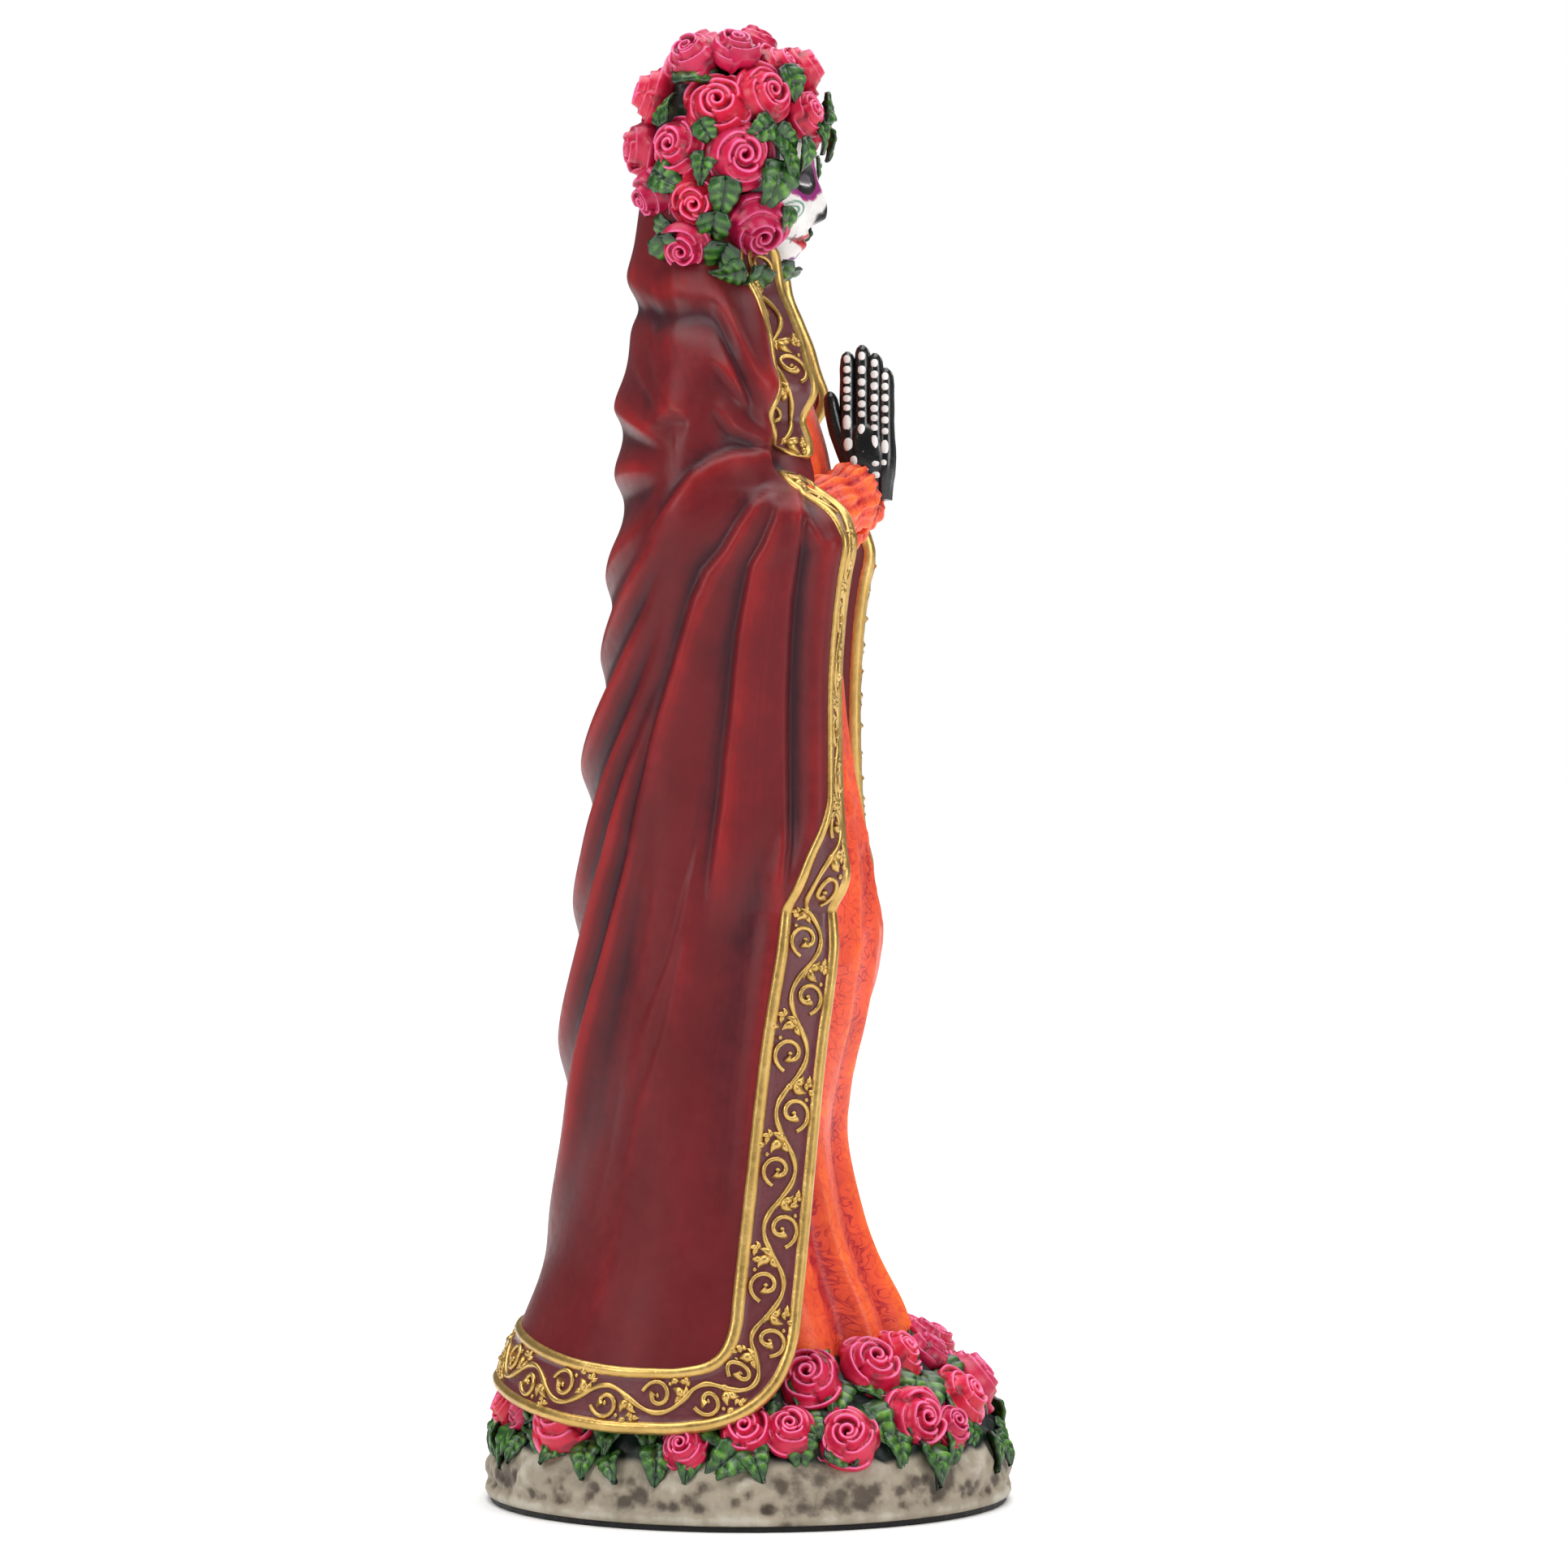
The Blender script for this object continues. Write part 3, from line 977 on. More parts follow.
def face_paint(side, rise, front, tones):
    """Traditional sugar-skull painting, worked out from side and rise in millimetres."""
    paint = np.empty(side.shape + (3,))
    paint[:] = tones.bone
    pair = np.abs(side)
    ahead = front > 0

    def lay(mask, tone):
        amount = (np.clip(mask, 0, 1) * ahead)[..., None]
        paint[:] = paint * (1 - amount) + np.array(tone) * amount

    def edge(distance, soft=0.16):
        return smooth(0.5 - distance / (2 * soft))

    reach = np.hypot(pair - 5, (rise + 0.2) * 1.08)
    turn = np.arctan2(rise + 0.2, pair - 5)
    lay(edge(reach - 4.5 - 0.55 * np.abs(np.cos(4.5 * turn))), tones.magenta)
    lay(edge(np.abs(reach - 4.1) - 0.18), tones.violet)
    lay(edge(reach - 3.55), tones.black)
    lay(edge(np.hypot((pair - 5) / 1.35, rise + 0.6) - 1.35), (0.10, 0.08, 0.10))
    lid_line = np.abs(rise + 1.5 - 0.09 * (pair - 5) ** 2)
    lay(edge(lid_line - 0.16) * edge(np.abs(pair - 5) - 2.3), tones.bone)
    nostril = np.minimum(np.hypot(pair - 0.95, rise + 7.6) - 1.15,
                         pair * 1.5 + np.abs(rise + 6.2) * 0.75 - 1.5)
    lay(edge(nostril), tones.black)
    bow = 10.1 - 0.35 * np.cos(side * 1.7) * (pair < 1.9)
    upper = np.maximum(np.abs(rise + 11.9) - 1.75 + 0.42 * pair, -(rise + 12.0))
    lower = np.maximum(np.abs(rise + 11.9) - 2.1 + 0.45 * pair, rise + 11.9)
    lay(edge(np.minimum(upper, lower)), tones.lip)
    lay(edge(np.abs(rise + 11.85) - 0.13) * edge(pair - 6.6), tones.black)
    for stitch in (1.2, 2.6, 4.0, 5.4, 6.6):
        lay(edge(np.abs(pair - stitch) - 0.12) * edge(np.abs(rise + 11.85) - 0.85), tones.black)
    for x, y, way in ((7.6, -6.6, 1), (9.3, -10.2, -1)):
        r = np.hypot(pair - x, rise - y)
        a = np.arctan2((rise - y) * way, pair - x) / (2 * np.pi)
        spiral = np.abs((r / 0.95 - a) % 1 - 0.5)
        lay(edge((0.5 - spiral - 0.3) * -1 * 0.95 - 0.02) * edge(r - 2.1), tones.curl)
    r, a = np.hypot(side, rise + 16.2), np.arctan2(side, rise + 16.2)
    lay(edge(r - 1.0 - 1.1 * np.abs(np.cos(2.5 * a))), tones.violet)
    lay(edge(r - 0.6), tones.bone)
    for x, y in ((4.6, -15.2), (6.6, -13.6)):
        lay(edge(np.hypot((pair - x) * 1.2, rise - y) - 0.75), tones.violet)
    r, a = np.hypot(side, rise - 8.2), np.arctan2(side, rise - 8.2)
    lay(edge(r - 0.9 - 1.1 * np.abs(np.cos(3 * a))), tones.magenta)
    lay(edge(r - 0.55), tones.gold)
    dots = np.hypot((pair * 0.85 % 1.5 - 0.75), rise - 5.2 - 0.05 * pair ** 2)
    lay(edge(dots - 0.28) * (pair > 0.6) * edge(pair - 7.5), tones.black)
    return paint


def head_shape(tones):
    def shape(u, v):
        turn = 2 * np.pi * (u - 0.5)
        turn = turn - 0.5 * np.sin(turn)
        tilt = np.pi * v
        x, y, z = np.sin(tilt) * np.sin(turn), -np.cos(tilt), np.sin(tilt) * np.cos(turn)
        side, rise = x * HEAD_HALF[1], y * HEAD_HALF[2]
        jaw = 1 - 0.26 * smooth(-rise / HEAD_HALF[2])
        side = side * jaw
        raised = np.where(z > 0, face_relief(side, rise) * smooth(z * 2), 0)
        forward = z * HEAD_HALF[0] + raised
        points = place(HEAD_CENTRE[0] + forward, side, HEAD_CENTRE[1] + rise)
        paint = face_paint(side, rise, z, tones)
        hair = smooth((rise - 10.4 + 0.35 * np.sin(9 * side)) / 0.6) + (z < -0.1)
        paint = paint + (np.array((0.012, 0.008, 0.008)) - paint) * np.clip(hair, 0, 1)[..., None]
        return points, paint
    return shape


def face_material():
    material = bpy.data.materials.new("Face paint")
    material.use_nodes = True
    tree = material.node_tree
    shader = tree.nodes["Principled BSDF"]
    laid = node(tree, "Attribute", attribute_name="paint").outputs["Color"]
    paint = tree.nodes.new("ShaderNodeGroup")
    paint.node_tree = paint_group()
    tree.links.new(laid, paint.inputs["Body"])
    tree.links.new(mixed(tree, 0.5, laid, (0.5, 0.46, 0.46, 1), "MULTIPLY"), paint.inputs["Wash"])
    tree.links.new(mixed(tree, 0.25, laid, (1, 1, 1, 1), "SCREEN"), paint.inputs["Light"])
    for label, value in (("Relief", 0.5), ("Marks", 0.5), ("Mark size", 200.0)):
        paint.inputs[label].default_value = value
    tree.links.new(paint.outputs["Color"], shader.inputs["Base Color"])
    tree.links.new(sums(tree, "ADD", paint.outputs["Gloss change"], 0.38), shader.inputs["Roughness"])
    raised = node(tree, "Bump", {
        "Height": paint.outputs["Height"], "Strength": 1.0, "Distance": 0.04 * MM})
    tree.links.new(raised.outputs["Normal"], shader.inputs["Normal"])
    return material


# ---------------------------------------------------------------- hands

def finger_path(forward, wrist, knuckle, tip):
    """Rows of height, forward place, side place and radius, from the wrist to the finger tip."""
    r = FINGER_RADIUS
    middle = (forward + wrist) / 2
    return np.array([
        (196.5, wrist, 2.0, 1.7), (199.5, wrist, 2.1, 1.9), (knuckle - 4, middle, 2.15, 2.05),
        (knuckle, forward, 1.95, 1.95), (knuckle + 3, forward, r + 0.15, r + 0.15),
        (knuckle + 6.5, forward, r, r + 0.02), (knuckle + 8.5, forward, r, r + 0.12),
        (tip - 5.5, forward, r, r), (tip - 3.6, forward, r, r + 0.08), (tip - 1.5, forward, r, r - 0.12),
        (tip - 0.6, forward, r, r * 0.72), (tip, forward, r, r * 0.25)])


def finger_stroke(rows, mirror):
    height = np.concatenate([np.linspace(rows[0, 0], rows[-3, 0], 15), rows[-2:, 0]])
    forward, side, radius = (np.interp(height, rows[:, 0], rows[:, c]) for c in (1, 2, 3))
    return place(forward, mirror * side, height), radius


def palm_shape(mirror):
    def shape(u, v):
        turn, tilt = 2 * np.pi * u, np.pi * v
        side, ahead, up = np.sin(tilt) * np.sin(turn), np.sin(tilt) * np.cos(turn), -np.cos(tilt)
        half = HAND_THICKNESS / 2
        return place(23.6 + 4.3 * ahead - 0.8 * up, mirror * half * (1 + side), 204.4 + 7.4 * up)
    return shape


# ---------------------------------------------------------------- roses and leaves

def soft_part(x):
    """The positive part of x, rounded at the corner."""
    return 0.5 * (x + np.sqrt(x * x + 0.0016))


def rose_model(variant):
    """A rose of radius 1 mm as one carved solid: a spiral heart in three rounds of petals.

    A petal is a lip whose face slopes away outside it and drops steeply inside it, and at each
    place the highest petal shows.
    """
    draw = np.random.default_rng(100 + variant)
    petals = []
    rounds = ((3, 1.42, 0.43, 0.60, 1.75, 0.10), (3, 1.36, 0.72, 0.38, 1.7, 0.13),
              (4, 1.0, 1.0, 0.02, 1.7, 0.10))
    for count, half, reach, high, slope, tuck in rounds:
        offset = draw.uniform(0, 6.28)
        for k in range(count):
            petals.append((
                offset + 2 * np.pi * (k + draw.uniform(-0.12, 0.12)) / count,
                half * draw.uniform(0.92, 1.05), reach * draw.uniform(0.93, 1.04),
                high + draw.uniform(-0.07, 0.07), slope, tuck, draw.uniform(-0.02, 0.07),
                draw.uniform(0, 6)))

    def edges(angle):
        """Lip radius, lip height and slope of every petal at these angles."""
        for n in (0, 1):
            turn = ((angle + variant) % (2 * np.pi) + 2 * np.pi * n) / (3.1 * np.pi)
            yield 0.05 + 0.22 * turn, 0.66 - 0.03 * turn - 0.5 * smooth((turn - 0.8) / 0.25), 1.6
        for turn, half, reach, high, slope, tuck, point, shift in petals:
            across = ((angle - turn + np.pi) % (2 * np.pi) - np.pi) / half
            lip = (reach + tuck * across + point * bell(across / 0.3)
                   + 0.012 * np.sin(7 * across + shift) - 0.1 * across ** 4)
            crest = high - 0.05 * across ** 2 - 0.55 * smooth((np.abs(across) - 0.72) / 0.42)
            yield lip, np.where(np.abs(across) < 1.15, crest, -9.0), slope

    def shape(u, v):
        angle = 2 * np.pi * u
        outline = np.max([np.where(crest > -0.9, lip, 0) for lip, crest, _ in edges(angle)], axis=0)
        radius = (outline + 0.1) * np.minimum(v / 0.82, 1) ** 0.95
        top, second = np.full(u.shape, -9.0), np.full(u.shape, -9.0)
        lift, glow = np.zeros(u.shape), np.zeros(u.shape)
        for lip, crest, slope in edges(angle):
            off = radius - lip
            height = crest - slope * soft_part(off) - 3.6 * soft_part(-off)
            wins = height > top
            second = np.where(wins, top, np.maximum(second, height))
            lift = np.where(wins, 0.07 * bell((off - 0.02) / 0.1), lift)
            glow = np.where(wins, bell((off - 0.01) / 0.055) - 1.1 * smooth(-off / 0.05 - 0.3), glow)
            top = np.where(wins, height, top)
        seam = bell((top - second) / 0.07)
        under = np.clip((v - 0.82) / 0.18, 0, 1)
        radius = (radius + lift) * (1 - under ** 2)
        height = np.maximum(top, -0.6) - 0.75 * np.sin(np.pi / 2 * under)
        rim = np.clip(0.44 + 0.42 * glow * (1 - 0.5 * seam) - 0.3 * seam, 0, 1)
        return np.stack([radius * np.cos(angle), radius * np.sin(angle), height], -1), rim

    return close_up(surface("rose", 54, 40, shape, ("rim",)), gap=1e-3)


def leaf_model(variant):
    """A leaf 1 mm long along X: puffed between sunken veins, heart-shaped, with a scalloped edge."""
    def shape(u, v):
        across = 2 * v - 1
        beat = 4 * u - 0.9 * np.abs(across) + 0.15 * variant
        puff = np.abs(np.sin(np.pi * beat)) ** 0.6
        width = 0.47 * np.sin(np.pi * u ** 0.6) ** 0.58 * (1 - 0.28 * u)
        width = np.maximum(width * (0.9 + 0.14 * puff * np.abs(across)), 0.01)
        body = np.sin(np.pi * np.clip(0.06 + 0.9 * u, 0, 1)) ** 0.6
        vein = smooth(np.abs(across) / 0.16)
        rise = 0.085 * puff * vein * body * (1 - 0.5 * across ** 4)
        fold = (0.2 + 0.05 * variant) * np.abs(across) - 0.16 * across ** 2
        droop = -0.42 * (u - 0.2) ** 2 + 0.05 * np.sin(7 * u + 2 * variant) * across
        points = np.stack([u - 0.35 - 0.1 * np.abs(across) * (1 - u), width * across,
                           rise + fold * body + droop], -1)
        light = 0.1 + 0.72 * puff * vein * body - 0.25 * np.abs(across) ** 5
        return points, np.clip(light, 0, 1)

    model = surface("leaf", 17, 10, shape, ("vein",))
    apply(model, "SOLIDIFY", thickness=0.1 * MM, offset=-1)
    alone(model)
    bpy.ops.object.shade_smooth()
    return model


def rose_material(tones):
    material, tree, shader, paint = painted(
        "Petal paint", tones.petal, tones.petal_deep, tones.petal_rim, "rim",
        marks=0.42, mark_size=190, roughness=0.32, bump=0.05, Specular_IOR_Level=0.4)
    tone = node(tree, "Attribute", attribute_name="tone")
    shifted = node(tree, "HueSaturation", {
        "Color": paint.outputs["Color"],
        "Hue": ranged(tree, tone.outputs["Fac"], 0, 1, 0.486, 0.5, "LINEAR"),
        "Value": ranged(tree, tone.outputs["Fac"], 0, 1, 0.85, 1.15, "LINEAR")})
    tree.links.new(shifted.outputs["Color"], shader.inputs["Base Color"])
    return material


def leaf_material(tones):
    material, tree, shader, paint = painted(
        "Leaf paint", tones.leaf, tones.leaf_deep, tones.leaf_light, "vein",
        marks=0.6, mark_size=230, roughness=0.34, bump=0.06, Coat_Weight=0.2, Coat_Roughness=0.25)
    return material


def ellipsoid_side(forward, height, grow):
    f = (forward - CROWN_CENTRE[0]) / (CROWN_HALF[0] + grow)
    h = (height - CROWN_CENTRE[1]) / (CROWN_HALF[2] + grow)
    return (CROWN_HALF[1] + grow) * math.sqrt(max(0.02, 1 - f * f - h * h))


def mantle_side(forward, height):
    """How far out the unfolded mantle is at a forward place and height."""
    back, half_width, front = (float(along(MANTLE_PROFILE, height, column)) for column in (1, 2, 3))
    behind = forward < AXIS_FORWARD
    share = (forward - AXIS_FORWARD) / ((back if behind else front) - AXIS_FORWARD)
    power = 0.95 if behind else 0.8
    cosine = min(share, 1) ** (1 / power)
    return half_width * math.sqrt(1 - cosine * cosine) ** power


def crown_side(forward, height, lift):
    """Side place of a crown flower, on the crown's core or on the mantle where that is farther out."""
    return max(ellipsoid_side(forward, height, lift), mantle_side(forward, height) + 0.6 * lift)


def crown_normal(forward, side, height):
    return unit(place((forward - CROWN_CENTRE[0]) / CROWN_HALF[0] ** 2, side / CROWN_HALF[1] ** 2,
                      (height - CROWN_CENTRE[1]) / CROWN_HALF[2] ** 2))


def bed_height(share):
    return ROCK_EDGE_HEIGHT + BED_RISE * (1 - np.minimum(share, 1) ** 4)


def edge_share(forward, side):
    return np.hypot(forward / BASE_FORWARD, side / BASE_SIDE)


def bed_normal(forward, side):
    share = min(float(edge_share(forward, side)), 0.97)
    steep = 4 * BED_RISE * share ** 3 / 50
    out = unit(place(forward / BASE_FORWARD ** 2, side / BASE_SIDE ** 2, 0))
    return unit(out * steep + np.array([0, 0, 1.0]))


def pearl_tops(roses):
    """Raises the attribute rim where a petal looks up, as pearl paint was brushed on from above."""
    count = len(roses.data.vertices)
    normals, rim = np.empty(count * 3, np.float32), np.empty(count, np.float32)
    roses.data.vertices.foreach_get("normal", normals)
    attribute = roses.data.attributes["rim"]
    attribute.data.foreach_get("value", rim)
    up = smooth((normals.reshape(-1, 3)[:, 2] - 0.1) / 0.9)
    attribute.data.foreach_set("value", np.clip(rim + 0.22 * up * (rim > 0.42), 0, 1).astype(np.float32))


def plant_roses(rows, name, seed):
    """Copies of the rose models at rows of (centre, normal, radius), joined into one piece."""
    models = [rose_model(variant) for variant in range(3)]
    draw = np.random.default_rng(seed)
    copies = []
    for index, (centre, normal, radius) in enumerate(rows):
        lean = unit(normal + draw.normal(0, 0.12, 3))
        way = draw.normal(size=3)
        copy = copy_to(models[index % 3], way, lean, centre, radius * draw.uniform(0.97, 1.05))
        put_attribute(copy, "tone", np.full(len(copy.data.vertices), draw.uniform(0, 1)))
        copies.append(copy)
    drop(models)
    whole = join(copies, name)
    pearl_tops(whole)
    return whole


def plant_leaves(rows, name, seed, extra=()):
    """Copies of the leaf models at rows of (centre, normal, tip direction, length)."""
    models = [leaf_model(variant) for variant in range(3)]
    draw = np.random.default_rng(seed)
    copies = list(extra)
    for index, (centre, normal, tip, size) in enumerate(rows):
        lean = unit(np.asarray(normal) + draw.normal(0, 0.2, 3))
        copies.append(copy_to(models[index % 3], tip, lean, centre, size * draw.uniform(0.9, 1.1)))
    drop(models)
    return join(copies, name)


# ---------------------------------------------------------------- rock

def rock_shape(pit_depth):
    profile = np.array([
        (0, 0.0, PAD_THICKNESS), (0.06, 0.5, PAD_THICKNESS), (0.12, 0.965, PAD_THICKNESS),
        (0.16, 0.985, 1.3), (0.2, 0.994, 2.2), (0.26, 0.992, 3.4), (0.3, 0.985, 4.2), (0.36, 0.99, 5.4),
        (0.44, 0.988, 7.2), (0.52, 0.978, 9.4), (0.6, 0.955, 12), (0.68, 0.93, 14.6),
        (0.74, 0.86, 21.2), (0.82, 0.72, 28.7), (0.9, 0.5, 34.3), (1, 0.0, 36)])

    def shape(u, v):
        angle = 2 * np.pi * u
        share = np.interp(v, profile[:, 0], profile[:, 1])
        height = np.interp(v, profile[:, 0], profile[:, 2])
        flat = place(np.cos(angle) * BASE_FORWARD * share, np.sin(angle) * BASE_SIDE * share, height)
        out = place(np.cos(angle), np.sin(angle), 0 * angle)
        wall = smooth((height - 2.6) / 2) * (1 - smooth((height - 14) / 5))
        bed = smooth((height - 11) / 4)
        lumps = 0.55 * uneven(flat, 17, 21) + 0.3 * uneven(flat, 6, 22) + 0.14 * uneven(flat, 2.4, 23)
        draw = np.random.default_rng(24)
        pits = np.zeros(u.shape)
        for _ in range(420):
            a, h, r = draw.uniform(0, 2 * np.pi), draw.uniform(3.5, 13), draw.uniform(0.5, 1.7)
            x, y = -math.sin(a) * BASE_SIDE, -math.cos(a) * BASE_FORWARD
            gap = np.sqrt((flat[..., 0] - x) ** 2 + (flat[..., 1] - y) ** 2 + (flat[..., 2] - h) ** 2)
            pits = np.maximum(pits, bell(gap / r) * (r / 1.7) ** 0.5)
        move = lumps * (0.25 + 0.75 * wall) * smooth((height - 1.2) / 2) - pits * pit_depth * wall
        points = flat + out * (move - 0.25)[..., None]
        points[..., 2] += bed * 0.9 * uneven(flat, 5, 25)
        relief = np.clip(0.5 + 0.35 * lumps - 0.75 * pits * wall + 0.3 * bell((height - 2.2) / 0.9), 0, 1)
        return points, relief, bed
    return shape


def rock_material(tones):
    material, tree, shader, paint = painted(
        "Rock paint", tones.rock, tones.rock_deep, tones.rock_light, "relief",
        marks=0.9, mark_size=120, roughness=0.55, bump=0.25)
    bed = node(tree, "Attribute", attribute_name="bed").outputs["Fac"]
    mask = ranged(tree, bed, 0.1, 0.6)
    tree.links.new(mixed(tree, mask, paint.outputs["Color"], rgba(tones.leaf_deep)),
                   shader.inputs["Base Color"])
    return material


def felt_material(tones):
    material, tree, shader, paint = painted(
        "Felt", tones.felt, [c * 0.6 for c in tones.felt], [c * 2.5 for c in tones.felt], 0.5,
        marks=1.0, mark_size=900, roughness=0.93, bump=0.15, Sheen_Weight=0.3)
    return material


# ---------------------------------------------------------------- operators

class FIGURINE_OT_mantle(bpy.types.Operator):
    """Builds the burgundy mantle, drawn up in swags over both forearms"""
    bl_idname = "figurine.mantle"
    bl_label = "Mantle"

    def execute(self, context):
        piece = surface("mantle", 275, 320, mantle_shape, ("crest", "flow"))
        close_up(piece)
        hand_over(piece, mantle_material(context.scene.figurine_colours))
        return {"FINISHED"}


class FIGURINE_OT_border(bpy.types.Operator):
    """Builds the gold border along the mantle's edge, with its raised vine"""
    bl_idname = "figurine.border"
    bl_label = "Mantle border"

    def execute(self, context):
        sizes, tones = context.scene.figurine_sizes, context.scene.figurine_colours
        width, line = sizes.border_width / MM, sizes.border_line / MM
        border = Border()
        section = border_section(width, line)
        section = np.vstack([section, section[:1]])
        parts = []
        for start, end in border.strips:
            def strip(u, v):
                at = u * (len(section) - 1)
                reach, lift, gold = (np.interp(at, np.arange(len(section)), section[:, c]) for c in range(3))
                run = start + v * (end - start)
                near = np.clip(np.minimum(run - start, end - run) / (0.45 * width), 0, 1)
                round_end = np.sqrt(1 - (1 - near) ** 2)
                reach = 0.45 * width + (reach - 0.45 * width) * round_end
                return border.point(run, reach, lift * round_end ** 0.3), np.maximum(gold, near < 0.3)

            parts.append(close_up(surface(
                "border", len(section) - 1, int((end - start) / 0.9), strip, ("gold",))))

        material = gold_material(tones)
        vine = strokes_mesh("vine", vine_strokes(
            border, width, sizes.vine_wave / MM, sizes.vine_thickness / MM))
        put_attribute(vine, "gold", np.ones(len(vine.data.vertices)))
        whole = join(parts + [vine], "mantle_border")
        alone(whole)
        bpy.ops.object.shade_smooth()
        hand_over(whole, material)
        return {"FINISHED"}


class FIGURINE_OT_dress(bpy.types.Operator):
    """Builds the pleated vermilion dress and both sleeves"""
    bl_idname = "figurine.dress"
    bl_label = "Dress and sleeves"

    def execute(self, context):
        material = dress_material(context.scene.figurine_colours)
        dress = surface("dress", 256, 200, dress_shape, ("relief", "weave"))
        hand_over(close_up(dress), material)
        for mirror, name in ((1, "sleeve_right"), (-1, "sleeve_left")):
            sleeve = surface(name, 120, 70, sleeve_shape(mirror), ("relief", "weave"))
            hand_over(close_up(sleeve), material)
        return {"FINISHED"}


class FIGURINE_OT_head(bpy.types.Operator):
    """Builds the head with its painted face"""
    bl_idname = "figurine.head"
    bl_label = "Head"

    def execute(self, context):
        tones = context.scene.figurine_colours
        piece = surface("head", 224, 168, head_shape(tones), ("paint",))
        hand_over(close_up(piece), face_material())
        return {"FINISHED"}


class FIGURINE_OT_hands(bpy.types.Operator):
    """Builds the pair of praying hands and the bones painted on them"""
    bl_idname = "figurine.hands"
    bl_label = "Hands"

    def execute(self, context):
        tones = context.scene.figurine_colours
        skin, _, _, _ = painted(
            "Hand paint", tones.black, tones.black, (0.03, 0.03, 0.032), 0.5, marks=0.8, mark_size=240,
            roughness=0.24, bump=0.05, Coat_Weight=0.3, Coat_Roughness=0.15)
        white, _, _, _ = painted(
            "Bone paint", tones.bone, (0.45, 0.42, 0.42), (0.9, 0.88, 0.86), 0.55, marks=1.1,
            mark_size=420, roughness=0.35, bump=0.06)
        parts, bones = [], []
        bpy.ops.object.select_all(action="DESELECT")
        bpy.ops.mesh.primitive_ico_sphere_add(subdivisions=2, radius=MM)
        pebble = bpy.context.active_object
        pebble.name = "bone"
        for mirror in (1, -1):
            parts.append(close_up(surface("palm", 40, 28, palm_shape(mirror))))
            paths = [finger_path(*row) for row in FINGERS]
            thumb = np.array([
                (198, 22.6, 2.0, 1.6), (205, 19.6, 1.9, 1.8), (210, 17.6, 1.6, 1.65), (214, 16.6, 1.5, 1.5),
                (216.4, 16.3, 1.5, 1.3), (217.3, 16.3, 1.5, 0.9), (217.8, 16.3, 1.5, 0.3)])
            strokes = [finger_stroke(rows, mirror) for rows in paths + [thumb]]
            parts.append(strokes_mesh("fingers", strokes, 4))
            for rows, bones_here in zip(paths, FINGER_BONES):
                for height, wide, tall in bones_here:
                    forward, side, radius = (np.interp(height, rows[:, 0], rows[:, c]) for c in (1, 2, 3))
                    copy = copy_to(pebble, (0, 0, 1), (-mirror, 0, 0), (0, 0, 0), 1)
                    ball = np.empty(len(copy.data.vertices) * 3)
                    copy.data.vertices.foreach_get("co", ball)
                    ball = ball.reshape(-1, 3) / MM
                    ball = np.sign(ball) * np.abs(ball) ** 0.85
                    round_off = 0.5 * (ball[:, 1] * wide) ** 2 / radius
                    ball = ball * (0.42, wide, tall)
                    ball[:, 0] += mirror * round_off
                    ball += place(forward, mirror * (side + radius - 0.14), height)
                    copy.data.vertices.foreach_set("co", (ball * MM).ravel())
                    bones.append(copy)
        drop([pebble])
        for pieces, name, material in ((parts, "hands", skin), (bones, "hand_bones", white)):
            whole = join(pieces, name)
            bpy.ops.object.shade_smooth()
            hand_over(whole, material)
        return {"FINISHED"}


class FIGURINE_OT_crown(bpy.types.Operator):
    """Builds the crown of roses and leaves"""
    bl_idname = "figurine.crown"
    bl_label = "Crown of roses"

    def execute(self, context):
        tones = context.scene.figurine_colours
        rows = []
        for mirror in (1, -1):
            for f, h, r in CROWN_ROSES:
                s = mirror * crown_side(f, h, 2)
                rows.append((place(f, s, h), crown_normal(f, s, h), r))
        for f, h, r in CROWN_MIDDLE_ROSES:
            rows.append((place(f, 0, h), crown_normal(f, 0, h), r))
        hand_over(plant_roses(rows, "crown_roses", 31), rose_material(tones))

        def core(u, v):
            turn, tilt = 2 * np.pi * u, np.pi * v
            side, up, ahead = np.sin(tilt) * np.sin(turn), -np.cos(tilt), np.sin(tilt) * np.cos(turn)
            reach = np.where(ahead > 0, np.where(up > 0.15, 0.95, 0.72), 1.0)
            points = place(CROWN_CENTRE[0] + ahead * CROWN_HALF[0] * reach, side * CROWN_HALF[1],
                           CROWN_CENTRE[1] + up * CROWN_HALF[2])
            grow = 1 + 0.025 * uneven(points, 5, 41)
            middle = place(CROWN_CENTRE[0], 0, CROWN_CENTRE[1])
            return middle + (points - middle) * grow[..., None], 0.12 + 0.15 * uneven(points, 3, 42)

        parts = [close_up(surface("core", 90, 60, core, ("vein",)))]
        leaves = []
        for mirror in (1, -1):
            for f, h, degrees, size in CROWN_LEAVES:
                s = mirror * crown_side(f, h, 3.6)
                tip = place(math.cos(math.radians(degrees)), 0.15 * mirror, math.sin(math.radians(degrees)))
                leaves.append((place(f, s, h), crown_normal(f, s, h), tip, size * 1.15))
        hand_over(plant_leaves(leaves, "crown_leaves", 32, parts), leaf_material(tones))
        return {"FINISHED"}


